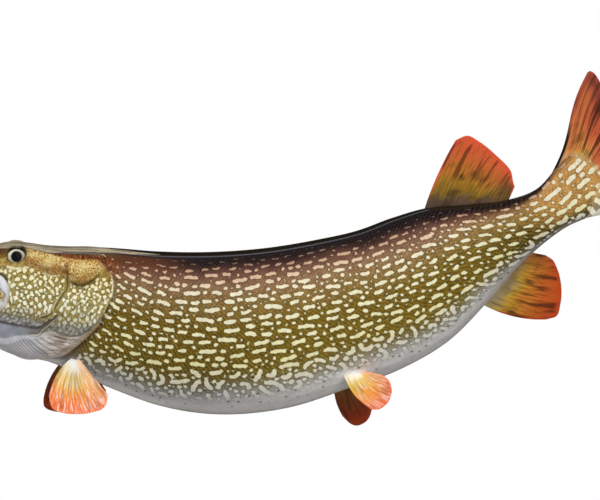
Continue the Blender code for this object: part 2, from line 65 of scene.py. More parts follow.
# A point on the widest line, the section's slant in degrees, the height above and below that line, and
# the full width.
Station = namedtuple("Station", "x y z slant above below width")
STATIONS = (
    Station(-0.382, -0.122, 0.035, 0, 0.024, 0.027, 0.050),  # tips of the jaws
    Station(-0.364, -0.121, 0.033, 0, 0.034, 0.037, 0.054),
    Station(-0.340, -0.119, 0.028, 0, 0.047, 0.044, 0.056),  # nostrils
    Station(-0.310, -0.116, 0.023, 0, 0.060, 0.053, 0.060),
    Station(-0.285, -0.113, 0.019, 0, 0.070, 0.0625, 0.066),  # corner of the mouth
    Station(-0.262, -0.110, 0.016, 0, 0.0750, 0.069, 0.074),  # eyes
    Station(-0.225, -0.104, 0.008, 0, 0.0788, 0.0678, 0.086),  # cheeks
    Station(-0.180, -0.097, 0.000, 0, 0.0848, 0.0795, 0.099),  # gill covers
    Station(-0.140, -0.092, -0.0065, 0, 0.0890, 0.0900, 0.108),
    Station(-0.090, -0.088, -0.017, 0, 0.0957, 0.0977, 0.120),  # shoulder
    Station(-0.010, -0.086, -0.023, 2, 0.1013, 0.1040, 0.127),  # deepest
    Station(0.060, -0.084, -0.0165, 8, 0.1003, 0.1032, 0.126),
    Station(0.130, -0.082, 0.001, 13, 0.0943, 0.0975, 0.118),  # pelvic fins
    Station(0.190, -0.081, 0.0195, 18, 0.0898, 0.0932, 0.109),
    Station(0.240, -0.082, 0.0435, 24, 0.0846, 0.0868, 0.096),  # front of the dorsal fin
    Station(0.290, -0.086, 0.0765, 31.5, 0.0675, 0.0708, 0.073),
    Station(0.335, -0.091, 0.0995, 37, 0.0485, 0.0500, 0.051),  # front of the anal fin
    Station(0.372, -0.096, 0.116, 39, 0.0350, 0.0364, 0.037),
    Station(0.405, -0.101, 0.134, 39, 0.0298, 0.0318, 0.026),  # thinnest of the tail stalk
    Station(0.430, -0.105, 0.1528, 38, 0.0355, 0.0388, 0.017),
    Station(0.460, -0.110, 0.1762, 38, 0.0410, 0.0445, 0.006),  # root of the tail fin
)
# How square the sections are, against x: 2 is an ellipse, and more is flatter on top and at the sides.
SQUARE_X = (-0.382, -0.340, -0.262, -0.180, -0.060, 0.190, 0.405)
SQUARE_ABOVE = (2.7, 2.8, 3.0, 2.6, 2.3, 2.2, 2.1)
SQUARE_BELOW = (2.3, 2.2, 2.0, 2.0, 2.2, 2.1, 2.1)

MOUTH_CORNER_X = -0.291
GAPE = 0.028
UPPER_JAW_SHORTER = 0.006
SNOUT_ROUND = 0.034
LIP_ROUND = 0.012
PALATE_ARCH = 0.006
MOUTH_FLOOR_DEPTH = 0.008
MOUTH_FADE = 0.030

# The gill openings, as (t, x) points of a line round the body.
GILL_LINE = ((0, -0.168), (0.19, -0.163), (0.26, -0.152), (0.40, -0.148), (0.50, -0.1625), (0.67, -0.1945),
             (0.80, -0.2145), (0.9, -0.2375), (1.0, -0.255))
TAIL_END_X = 0.432
TAIL_BULGE = 0.0175

EYE_X, EYE_Z = -0.2652, 0.0762
EYE_SIDEWAYS, EYE_SIDEWAYS_RIGHT = 0.0187, 0.0162
EYE_OPENING_UP = 0.0009  # the lids open this far above the middle of the eye
EYE_RADIUS = 0.0135
EYE_GRID = (64, 48)
EYE_TOP = 0.0096  # the ball is flattened above this height, under the brow

COLUMNS = {name: np.array([getattr(row, name) for row in STATIONS], float) for name in Station._fields}
PLACES = np.stack([COLUMNS["x"], COLUMNS["y"], COLUMNS["z"]], 1)
DISTANCES = np.concatenate([[0.0], np.cumsum(np.linalg.norm(np.diff(PLACES, axis=0), axis=1))])
LENGTH = DISTANCES[-1]


def smooth(knots, values, at):
    """Read a smooth curve through the values given at the knots."""
    knots, values = np.asarray(knots, float), np.asarray(values, float)
    slopes = np.gradient(values, knots)
    i = np.clip(np.searchsorted(knots, at) - 1, 0, len(knots) - 2)
    step = knots[i + 1] - knots[i]
    u = np.clip((at - knots[i]) / step, 0.0, 1.0)
    start = (1 + 2 * u) * (1 - u) ** 2 * values[i] + u * (1 - u) ** 2 * step * slopes[i]
    end = u * u * (3 - 2 * u) * values[i + 1] + u * u * (u - 1) * step * slopes[i + 1]
    return start + end


def ease(value, low, high):
    """Rise smoothly from 0 at low to 1 at high."""
    u = np.clip((value - low) / (high - low), 0.0, 1.0)  # falls where low is above high
    return u * u * (3 - 2 * u)


def along(name, s):
    return smooth(DISTANCES, COLUMNS[name], s)


FINE = np.linspace(0, LENGTH, 2000)
FINE_X = along("x", FINE)


def distance_at(x):
    return np.interp(x, FINE_X, FINE)


def x_at(s):
    return np.interp(s, FINE, FINE_X)


MOUTH_CORNER = distance_at(MOUTH_CORNER_X)


def axes_at(s):
    """The spine's points, and the sections' left and up directions."""
    slant = np.radians(along("slant", s))
    near = 0.002
    yaw = np.arcsin((along("y", s + near) - along("y", s - near)) / (2 * near))
    roll = ROLL_HEAD + (ROLL_TAIL - ROLL_HEAD) * s / LENGTH
    tailward = np.stack([np.cos(slant) * np.cos(yaw), np.sin(yaw), np.sin(slant) * np.cos(yaw)], -1)
    level_up = np.stack([-np.sin(slant), np.zeros_like(s), np.cos(slant)], -1)
    level_left = np.cross(tailward, level_up)
    turn, lean = np.cos(roll)[..., None], np.sin(roll)[..., None]
    spine = np.stack([along("x", s), along("y", s), along("z", s)], -1)
    return spine, level_left * turn - level_up * lean, level_up * turn + level_left * lean


def rounding(s, start, length):
    """Grows from 0 at the start to 1 after the length, as the end of an ellipse does."""
    u = np.clip((s - start) / length, 0.0, 1.0)
    return np.sqrt(1 - (1 - u) ** 2)


def lip_gap(s):
    return GAPE / 2 * np.clip(1 - s / MOUTH_CORNER, 0.0, 1.0) ** 0.7


def across_and_up(s, t, upper, grow):
    """The outer form inside its section: sideways from the middle plane, and up from the widest line."""
    x = x_at(s)
    square = np.where(upper, np.interp(x, SQUARE_X, SQUARE_ABOVE), np.interp(x, SQUARE_X, SQUARE_BELOW))
    turn = np.where(upper, t, 1 - t) * math.pi
    across = np.clip(np.sin(turn), 0, 1) ** (2 / square)
    rise = np.clip(np.cos(turn), 0, 1) ** (2 / square)
    start = np.where(upper, UPPER_JAW_SHORTER, 0.0)
    lip = lip_gap(s)
    height = np.where(upper, along("above", s), along("below", s)) + grow
    middle = (lip + height) / 2
    up = middle + (lip + (height - lip) * rise - middle) * rounding(s, start, LIP_ROUND)
    width = along("width", s) / 2 * rounding(s, start, SNOUT_ROUND) + grow
    return across * width, np.where(upper, up, -up)


def to_world(s, across, up):
    spine, left, top = axes_at(s)
    return spine + across[..., None] * left + up[..., None] * top


def skin_point(s, t, side=1.0, grow=0.0, upper=None):
    """The outer form. The side is 1 on the fish's left and -1 on its right."""
    s, t, side = np.broadcast_arrays(np.asarray(s, float), np.asarray(t, float), np.asarray(side, float))
    across, up = across_and_up(s, t, t <= 0.5 if upper is None else upper, grow)
    return to_world(s, across * side, up)


def mouth_point(s, v, upper):
    """The palate, or the floor of the mouth, from -1 at the right lip to 1 at the left."""
    lip_across, lip_up = across_and_up(s, np.full_like(s, 0.5), upper, 0.0)
    hollow = np.where(upper, PALATE_ARCH, -MOUTH_FLOOR_DEPTH)
    fade = np.clip(s / MOUTH_FADE, 0, 1) * np.clip((MOUTH_CORNER - s) / MOUTH_FADE, 0, 1)
    return to_world(s, lip_across * v, lip_up + hollow * fade * (1 - v * v))


def line_at(line, t):
    return distance_at(smooth([point[0] for point in line], [point[1] for point in line], t))


def gill_at(t):
    return line_at(GILL_LINE, t)


def tail_end(t):
    return distance_at(TAIL_END_X + TAIL_BULGE * np.sin(math.pi * t))


def crest_distance(t, x):
    """Where the back (t = 0) or the belly (t = 1) passes x."""
    fine = np.linspace(distance_at(-0.2), LENGTH, 1500)
    return np.interp(x, skin_point(fine, t)[:, 0], fine)


GIRTH_S = np.linspace(0, LENGTH, 240)
GIRTH_T = np.linspace(0, 1, 161)


def girth_table():
    s, t = np.meshgrid(GIRTH_S, GIRTH_T, indexing="ij")
    across, up = across_and_up(s, t, t <= 0.5, 0.0)
    steps = np.hypot(np.diff(across, axis=1), np.diff(up, axis=1))
    return np.concatenate([np.zeros((len(GIRTH_S), 1)), np.cumsum(steps, axis=1)], axis=1)


GIRTH = girth_table()


def read_table(table, row, column):
    """Read a table between its cells."""
    i = np.clip(row, 0, table.shape[0] - 1.001)
    j = np.clip(column, 0, table.shape[1] - 1.001)
    i0, j0 = i.astype(int), j.astype(int)
    u, v = i - i0, j - j0
    low = table[i0, j0] * (1 - v) + table[i0, j0 + 1] * v
    high = table[i0 + 1, j0] * (1 - v) + table[i0 + 1, j0 + 1] * v
    return low * (1 - u) + high * u


def girth_at(s, t):
    return read_table(GIRTH, s / GIRTH_S[1], t / GIRTH_T[1])


def turn_at_girth(s, g):
    """The turns at the girths g on the one section at s."""
    row = GIRTH[int(np.clip(round(s / GIRTH_S[1]), 0, len(GIRTH_S) - 1))]
    return np.interp(g, row, GIRTH_T)


# ---------------------------------------------------------------- relief and zones of the skin

FACE_DEPTH = 0.00022  # the skin lies this far deeper where scales cover the face

# Lines of the head as (x, t) points.
GROOVE = ((-0.205, 0.29), (-0.205, 0.40), (-0.2086, 0.425), (-0.2148, 0.462), (-0.2211, 0.497),
          (-0.2323, 0.535), (-0.2360, 0.540))  # behind the cheek plate
CHEEK_EDGE = ((-0.246, 0.545), (-0.259, 0.555), (-0.274, 0.565), (-0.289, 0.56))
JAW_LINE = ((-0.34, 0.64), (-0.310, 0.632), (-0.288, 0.627), (-0.2533, 0.619), (-0.2391, 0.610),
            (-0.2292, 0.565), (-0.2167, 0.515))  # under the rear end of the lower jaw
THROAT_EDGE = ((-0.34, 0.82), (-0.310, 0.80), (-0.2873, 0.755), (-0.2772, 0.738), (-0.2664, 0.695),
               (-0.2483, 0.662), (-0.2391, 0.652), (-0.2298, 0.625), (-0.2192, 0.613))
COVER_FOLDS = (((-0.1873, 0.493), (-0.1772, 0.486), (-0.1672, 0.477)),
               ((-0.1900, 0.519), (-0.1842, 0.515), (-0.1740, 0.505), (-0.1660, 0.491)))
COVER_BOTTOM = ((-0.2240, 0.585), (-0.2161, 0.612), (-0.2004, 0.611), (-0.1879, 0.589), (-0.1754, 0.541),
                (-0.1660, 0.502))
COVER_GREY = ((-0.2204, 0.561), (-0.2067, 0.553), (-0.1923, 0.537), (-0.1785, 0.508), (-0.1672, 0.487))
BROW = ((-0.330, 0.15), (-0.300, 0.160), (-0.278, 0.155), (-0.258, 0.170), (-0.244, 0.185), (-0.217, 0.186),
        (-0.200, 0.175), (-0.184, 0.165), (-0.162, 0.165))
EYE_STREAK = ((-0.2756, 0.331), (-0.2642, 0.343), (-0.2522, 0.326))
CHEEK_STREAK = ((-0.2341, 0.341), (-0.2242, 0.349), (-0.2148, 0.337))
NOTCH = ((-0.2483, 0.668), (-0.2403, 0.660), (-0.2341, 0.619), (-0.2273, 0.583), (-0.2204, 0.543),
         (-0.2123, 0.503))
UPPER_LIP = ((-0.370, 0.40), (-0.340, 0.385), (-0.310, 0.375), (-0.292, 0.375), (-0.283, 0.40))
MOUTH_FOLD = ((-0.2905, 0.405), (-0.2845, 0.421), (-0.2815, 0.447), (-0.2812, 0.480), (-0.2850, 0.507),
              (-0.2905, 0.517))
LIP_END = ((-0.296, 0.462), (-0.2880, 0.474), (-0.2832, 0.486))
NOSTRILS = ((-0.331, 0.21), (-0.322, 0.215))
# PORE_GLINT: where a painted highlight sits beside the pore.
CHEEK_PORE, PORE_GLINT = (-0.2060, 0.268), (-0.2102, 0.262)
COVER_CORNER = (-0.160, 0.205)
JAW_PORES = ((-0.350, 0.70), (-0.328, 0.69), (-0.306, 0.685))
GOLD_TOP = ((-0.262, 0.175), (-0.2558, 0.163), (-0.2341, 0.178), (-0.2161, 0.194), (-0.2036, 0.208),
            (-0.1848, 0.208), (-0.1653, 0.178), (-0.150, 0.20))
GOLD_BOTTOM = ((-0.262, 0.28), (-0.2539, 0.300), (-0.2415, 0.325), (-0.2298, 0.335), (-0.2148, 0.323),
               (-0.2048, 0.338), (-0.1998, 0.361), (-0.1923, 0.369), (-0.1860, 0.367), (-0.1791, 0.351),
               (-0.1728, 0.331), (-0.1665, 0.303), (-0.150, 0.22))
CROWN_EDGE = ((-0.380, 0.10), (-0.288, 0.152), (-0.272, 0.180), (-0.2577, 0.176), (-0.244, 0.177),
              (-0.2200, 0.160), (-0.2050, 0.125), (-0.172, 0.105), (-0.120, 0.095), (-0.070, 0.06))
# The dark back runs into the pale crown, a painted reflection, above this line.
NAPE_WEDGE = ((-0.176, -0.030), (-0.150, 0.012), (-0.120, 0.042), (-0.060, 0.080))
# The folds between the rays that stiffen the throat: for some of them, the upper end, the middle and the
# lower end. The others lie evenly between.
THROAT_FOLDS = {
    0: ((-0.288, 0.850), (-0.281, 0.900), (-0.275, 0.960)),
    2: ((-0.2778, 0.812), (-0.2646, 0.892), (-0.2577, 0.952)),
    4: ((-0.2690, 0.766), (-0.2540, 0.860), (-0.2440, 0.922)),
    6: ((-0.2602, 0.723), (-0.2465, 0.810), (-0.2335, 0.890)),
    7: ((-0.2552, 0.707), (-0.2428, 0.785), (-0.2285, 0.854)),
    8: ((-0.2502, 0.705), (-0.2395, 0.756), (-0.2248, 0.826)),
    9: ((-0.2430, 0.695), (-0.2323, 0.735), (-0.2161, 0.770)),
    10: ((-0.2360, 0.680), (-0.2229, 0.706), (-0.2048, 0.717)),
    11: ((-0.2279, 0.662), (-0.2167, 0.669), (-0.1998, 0.655)),
    12: ((-0.2200, 0.640), (-0.2060, 0.640), (-0.1900, 0.615)),
}


def to_girth(line):
    x, t = np.array(line, float).T
    s = distance_at(x)
    return s, girth_at(s, t)


def gap_to_runs(s, g, points):
    """The distance over the skin from each place to the straight runs between points."""
    best = np.ones(np.broadcast_shapes(s.shape, g.shape))
    for start, end in zip(points, points[1:]):
        run = end - start
        share = np.clip(((s - start[0]) * run[0] + (g - start[1]) * run[1]) / (run @ run + 1e-12), 0, 1)
        off = (s - start[0] - share * run[0]) ** 2 + (g - start[1] - share * run[1]) ** 2
        best = np.minimum(best, off)
    return np.sqrt(best)


def gap_to_line(s, g, line):
    """The distance to a line, which bends smoothly through its points."""
    if len(line) > 2:
        knots, fine = np.arange(len(line)), np.linspace(0, len(line) - 1, 3 * len(line) - 2)
        line = np.stack([smooth(knots, [point[i] for point in line], fine) for i in (0, 1)], 1)
    return gap_to_runs(s, g, np.stack(to_girth(line), 1))


def gap_to_spot(s, g, spot):
    spot_s, spot_g = to_girth((spot,))
    return np.hypot(s - spot_s[0], g - spot_g[0])


def bell(gap, width):
    return np.exp(-((gap / width) ** 2))


def turn_of(line, x):
    """A line's turn at x."""
    return np.interp(x, *np.array(line, float).T)


def x_of(line, t):
    """A line's x at the turn t, for a line that runs downwards."""
    knots = np.array(line, float)
    return np.interp(t, knots[:, 1], knots[:, 0], left=-1.0, right=-1.0)


def rises(t, line_t, above, below):
    """From 0 at a distance above a line to 1 at one below it, in turns."""
    return ease(t, line_t - above, line_t + below)


def eye_gap(s, g):
    """How far a place is from the middle of the eye, in eye radii of skin."""
    middle_s = distance_at(EYE_X)
    fine = np.linspace(0.05, 0.45, 200)
    up = across_and_up(np.full(200, middle_s), fine, True, 0.0)[1]
    middle_t = np.interp(-(EYE_Z + EYE_OPENING_UP - along("z", middle_s)), -up, fine)
    middle_g = girth_at(np.array([middle_s]), np.array([middle_t]))[0]
    return np.hypot(s - middle_s, (g - middle_g) * 1.19), g < middle_g


def throat_folds(s, g):
    """The distance to the nearest fold of the throat."""
    known = sorted(THROAT_FOLDS)
    table = np.array([THROAT_FOLDS[key] for key in known])
    best = np.full(s.shape, 1.0)
    for fold in (*np.arange(0, 7.5, 0.72), *range(8, known[-1] + 1)):
        line = [[np.interp(fold, known, table[:, i, j]) for j in (0, 1)] for i in range(3)]
        best = np.minimum(best, gap_to_line(s, g, line))
    return best


def head_zones(s, t):
    """Masks of the head's parts, each from 0 to 1, the relief in metres, and where no marks are."""
    x, g = x_at(s), girth_at(s, t)
    before_gill = gill_at(t) - s
    nape = ease(0.225 - t, 0.0, 0.04)
    head = ease(before_gill, -0.0006, 0.0006) * (1 - nape) + ease(before_gill, -0.05, 0.02) * nape
    on_head = ease(before_gill, -0.0006, 0.0006)
    eye, over_eye = eye_gap(s, g)
    groove, cheek_edge, jaw_line, cover_bottom, mouth_fold = (
        gap_to_line(s, g, line) for line in (GROOVE, CHEEK_EDGE, JAW_LINE, COVER_BOTTOM, MOUTH_FOLD)
    )
    lip_end, notch, upper_lip, brow = (
        gap_to_line(s, g, line) for line in (LIP_END, NOTCH, UPPER_LIP, BROW)
    )
    folds = [gap_to_line(s, g, line) for line in COVER_FOLDS]
    pore = gap_to_spot(s, g, CHEEK_PORE)
    corner = gap_to_spot(s, g, COVER_CORNER)
    rays = throat_folds(s, g)
    cover_t, jaw_t, gold_t = turn_of(COVER_BOTTOM, x), turn_of(JAW_LINE, x), turn_of(GOLD_BOTTOM, x)
    before_groove = x < x_of(GROOVE, t)
    throat = rises(t, np.where(x < THROAT_EDGE[-1][0], turn_of(THROAT_EDGE, x), cover_t), 0.006, 0.010)
    throat = throat * on_head * ease(x, -0.37, -0.33)
    notch_x, notch_t = np.array(NOTCH)[::-1].T
    before_notch = ease(np.interp(t, notch_t, notch_x) - x, -0.0006, 0.0006)
    below_jaw = rises(t, np.where(x < JAW_LINE[-1][0], jaw_t, 1.0), 0.004, 0.004)
    # The jowl's grey-brown, like the lower gill cover's, is painted shade where the head turns under.
    jowl = rises(t, np.where(x < -0.226, turn_of(CHEEK_EDGE, x), 1.0), 0.002, 0.016)
    jowl = jowl * (1 - below_jaw) * (1 - throat) * on_head
    under_jaw = below_jaw * (1 - throat) * on_head * before_notch
    cover_grey = rises(t, turn_of(COVER_GREY, x), 0.014, 0.022)
    cover_grey = cover_grey * ease(x, -0.236, -0.228) * (1 - before_notch) * (1 - throat) * on_head
    flap = 1 - ease(0.24 - t, 0.0, 0.06)

    height = (0.0016 + 0.0024 * bell(x + 0.264, 0.020)) * bell(brow, 0.0046) * ease(x, -0.345, -0.32)
    height = height + (0.0010 + 0.0006 * over_eye) * bell(eye - 0.0125, 0.0016)
    height -= 0.0045 * (1 - ease(eye, 0.0100, 0.0110))
    height -= 0.0011 * bell(groove, 0.0012)
    height += 0.0012 * bell(groove - 0.003, 0.0026) * before_groove
    height -= 0.0005 * bell(cheek_edge, 0.0014) + 0.0012 * bell(jaw_line, 0.0016)
    height += 0.0010 * bell(jaw_line - 0.004, 0.003) * (t < jaw_t)
    height += 0.0009 * bell(cover_bottom - 0.002, 0.003) * (t < cover_t)
    height -= 0.0009 * bell(cover_bottom, 0.0012) * ease(x, -0.234, -0.228)
    height -= 0.0006 * bell(folds[0], 0.0009) + 0.0008 * bell(notch - 0.0012, 0.0012)
    height += 0.0022 * ease(0.0056 - mouth_fold, 0.0, 0.0050) * ease(x, -0.31, -0.296)
    height -= 0.0010 * bell(mouth_fold - 0.0060, 0.0010) * ease(x, -0.31, -0.29)
    height += 0.0014 * bell(lip_end, 0.0034) - 0.0012 * bell(lip_end - 0.0046, 0.0008)
    height -= 0.0008 * bell(upper_lip, 0.0011) * ease(MOUTH_CORNER_X - x, 0.0, 0.01)
    height -= 0.0014 * bell(pore, 0.0018) - 0.0010 * bell(corner, 0.0022)
    for spot in NOSTRILS:
        gap = gap_to_spot(s, g, spot)
        height += 0.0006 * bell(gap - 0.0026, 0.0009) - 0.0020 * bell(gap, 0.0017)
    for spot in JAW_PORES:
        height -= 0.0009 * bell(gap_to_spot(s, g, spot), 0.0011)
    height -= 0.0008 * bell(rays, 0.0010) * throat
    crown = ease(0.10 - t, 0.0, 0.06) * ease(x, -0.36, -0.30)
    height -= 0.0012 * crown * ease(-0.175 - x, 0.0, 0.03)
    height += 0.0016 * flap * ease(before_gill, -0.0002, 0.0002) * ease(0.014 - before_gill, 0.0, 0.014)
    height -= 0.0012 * flap * ease(-before_gill, -0.0002, 0.0002) * ease(0.020 + before_gill, 0.0, 0.020)

    gold = rises(t, turn_of(GOLD_TOP, x), 0.012, 0.008) * ease(gold_t - t, -0.018, 0.012)
    gold = gold * ease(x, -0.262, -0.250) * ease(before_gill, 0.0, 0.006)
    height += 0.0012 * gold
    shoulder = ease(t, 0.13, 0.17) * ease(0.36 - t, 0.0, 0.10) * ease(s - gill_at(t), -0.016, 0.0)
    shoulder = shoulder * ease(gill_at(t) + 0.035 - s, 0.0, 0.035)
    ridge = ease(t, 0.160, 0.180) * ease(0.215 - t, 0.0, 0.025) * ease(x, -0.230, -0.205) * on_head
    copper = np.maximum(shoulder, 1.2 * ridge)
    before_edge = ease(-0.160 - x, 0, 0.01)
    # Painted shade under the gold swelling.
    shade_under_gold = bell(gold_t - t + 0.006, 0.011) * ease(x, -0.204, -0.196) * before_edge
    gold_foot = bell(gold_t - t - 0.02, 0.030) * ease(x, -0.262, -0.250) * before_edge
    gold_foot = gold_foot * (1 - 0.5 * ease(x, -0.208, -0.200))
    below = ease(t, 0.42, 0.52)
    # The dark lines are mostly painted shade: in the groove behind the cheek plate, along the edges of the
    # cheek, the jaw and the gill cover, in the folds of the throat and of the cover, in the notch, round
    # the end of the lip, by the fold at the mouth's corner and in the pore, round the eye under its lids,
    # under the gold swelling and on the body behind the gill covers; with a dark spot at the cover's upper
    # corner.
    eye_ring_shade = 1.2 * bell(eye - 0.0110, 0.0013) * ease(t, 0.15, 0.175)
    eye_ring_shade = np.where(over_eye, eye_ring_shade, 0.55 * bell(eye - 0.0111, 0.0008))
    lines = np.maximum.reduce([
        bell(groove, 0.0012), 0.18 * bell(cheek_edge, 0.0018) * ease(x, -0.262, -0.25),
        0.75 * bell(jaw_line, 0.0020), 1.1 * bell(corner, 0.0026), 0.9 * bell(pore - 0.0002, 0.0019),
        0.80 * throat * bell(rays, 0.0007) * ease(before_gill, 0.0045, 0.0065),
        eye_ring_shade,
        1.1 * shade_under_gold * on_head,
        0.85 * bell(before_gill + 0.0030, 0.0030) * below, 0.45 * bell(cover_bottom, 0.0011),
        0.6 * bell(notch - 0.0016, 0.0010), bell(lip_end - 0.0048, 0.0007),
        1.5 * bell(mouth_fold - 0.0068, 0.0012) * ease(x, -0.31, -0.29) * ease(0.435 - t, 0.0, 0.03),
        0.8 * bell(folds[0], 0.0006), 0.4 * throat * bell(before_gill - 0.0072, 0.0008) * below,
    ])
    lines = np.minimum(lines, 1)
    # Pale lines: cream streaks under the eye and on the cheek, and a pale line on the cover's second fold,
    # with painted highlights along the notch, beside the groove and on the gill cover's rear edge, and a
    # painted glint beside the pore.
    pale = np.maximum.reduce([
        1.3 * bell(gap_to_line(s, g, EYE_STREAK), 0.0013),
        0.8 * bell(gap_to_line(s, g, CHEEK_STREAK), 0.0009),
        0.7 * bell(folds[1], 0.0007), 0.32 * bell(notch, 0.0009),
        0.9 * bell(gap_to_spot(s, g, PORE_GLINT), 0.0017),
        0.7 * bell(groove - 0.0022, 0.0008) * before_groove * ease(t, 0.40, 0.43),
        0.8 * bell(before_gill - 0.0008, 0.0006) * ease(t, 0.28, 0.30) * ease(0.42 - t, 0.0, 0.02),
    ])
    lip = ease(0.0044 - lip_end, 0.0, 0.0010)
    membrane = ease(0.0096 - mouth_fold, 0.0, 0.0062) * ease(x, -0.30, -0.296) * (1 - lip)
    membrane = membrane * np.where(t < 0.435, ease(0.0064 - mouth_fold, 0.0, 0.0008), 1)
    # The pale band over the crown is a painted reflection of the light above.
    crown_reflection = ease(turn_of(CROWN_EDGE, x) - t, -0.008, 0.008) * ease(-0.060 - x, 0.0, 0.03)
    crown_reflection = crown_reflection * ease(t - turn_of(NAPE_WEDGE, x), -0.014, 0.010)
    brown_edge = ease(before_gill, 0.0, 0.0004) * ease(0.0050 - before_gill, 0.0, 0.0022) * below
    cover_low = rises(t, cover_t, 0.006, 0.006) * (x > COVER_BOTTOM[0][0])
    above = ease(0.33 - t, 0.0, 0.05)
    isthmus = ease(t, 0.60, 0.70) * ease(before_gill, -0.016, -0.004) * ease(before_gill, 0.001, -0.001)
    isthmus = np.maximum(isthmus, ease(t, 0.50, 0.56) * ease(before_gill, 0.011, 0.002) * on_head)
    face_bottom = np.interp(x, (-0.272, -0.246, -0.21, -0.20, -0.155), (0.52, 0.51, 0.47, 0.46, 0.42))
    scaled = ease(t, 0.185, 0.20) * ease(face_bottom - t, 0.0, 0.02) * ease(x, -0.272, -0.266) * on_head
    scaled = scaled * ease(eye, 0.0136, 0.0150) * ease(groove, 0.0010, 0.0022)
    scaled = scaled * ease(before_gill, 0.0018, 0.0036)
    scaled = scaled * ease(mouth_fold, 0.0070, 0.0090) * ease(pore, 0.0016, 0.0026)
    height -= FACE_DEPTH * scaled
    bare = np.maximum.reduce([gold, throat, membrane, lip, crown_reflection, jowl, under_jaw, cover_low, above])
    bare = np.maximum.reduce([bare * on_head, isthmus, bell(groove, 0.0018), bell(eye - 0.009, 0.007)])
    return {
        "head": head, "gold": np.maximum.reduce([gold, lip, 0.42 * brown_edge]),
        "copper": np.maximum(copper, np.maximum(0.45 * brown_edge, 0.9 * gold_foot)),
        "lines": lines, "pale": pale, "throat": throat * (1 - 0.9 * brown_edge), "membrane": membrane,
        "crown": crown_reflection, "jowl": np.maximum(jowl, 0.8 * cover_grey), "under_jaw": under_jaw,
        "isthmus": isthmus * (1 - 0.85 * brown_edge * ease(0.85 - t, 0.0, 0.1)),
        "bare": bare, "scaled": scaled, "height": height,
    }


def skin_zones(s, t):
    """The zones of the head and shoulder, which are all empty farther back."""
    near = s - gill_at(t) < 0.09
    if near.all():
        return head_zones(s, t)
    found = head_zones(s[near], t[near])
    zones = {name: np.zeros(s.shape) for name in found}
    for name, values in found.items():
        zones[name][near] = values
    return zones


def tone_at(s, t):
    """The turn at which the middle of the trunk has the same colours."""
    x = x_at(s)
    lower = ease(t, 0.45, 0.66)
    rear = 0.035 * ease(x, 0.16, 0.27) + lower * (0.015 * ease(x, 0.2, 0.3) + 0.045 * ease(x, 0.29, 0.38))
    rear -= 0.10 * ease(x, 0.375, 0.425) * ease(0.45 - t, 0.0, 0.2)
    return t - rear - 0.03 * lower * ease(x, -0.02, -0.12) * ease(s, gill_at(t), gill_at(t) + 0.002)


# ---------------------------------------------------------------- marks

MARK_STEP = 0.0005
MARK_REACH = 0.007
MARKS_LONG, MARKS_HIGH = 0.93, 0.29  # the marks' sheet along the fish and round it
# How many marks are tried, how long the shortest and the longest are, their spare room and half their
# breadth, from the large ones to the small ones that fill the gaps.
MARK_RUNS = (
    (9000, 0.0035, 0.0085, 0.0026, 0.0024),
    (5000, 0.0025, 0.0055, 0.0012, 0.0024),
    *((26000, 0.0, 0.0016, 0.0, radius) for radius in (0.0023, 0.0019, 0.0015, 0.0011)),
)


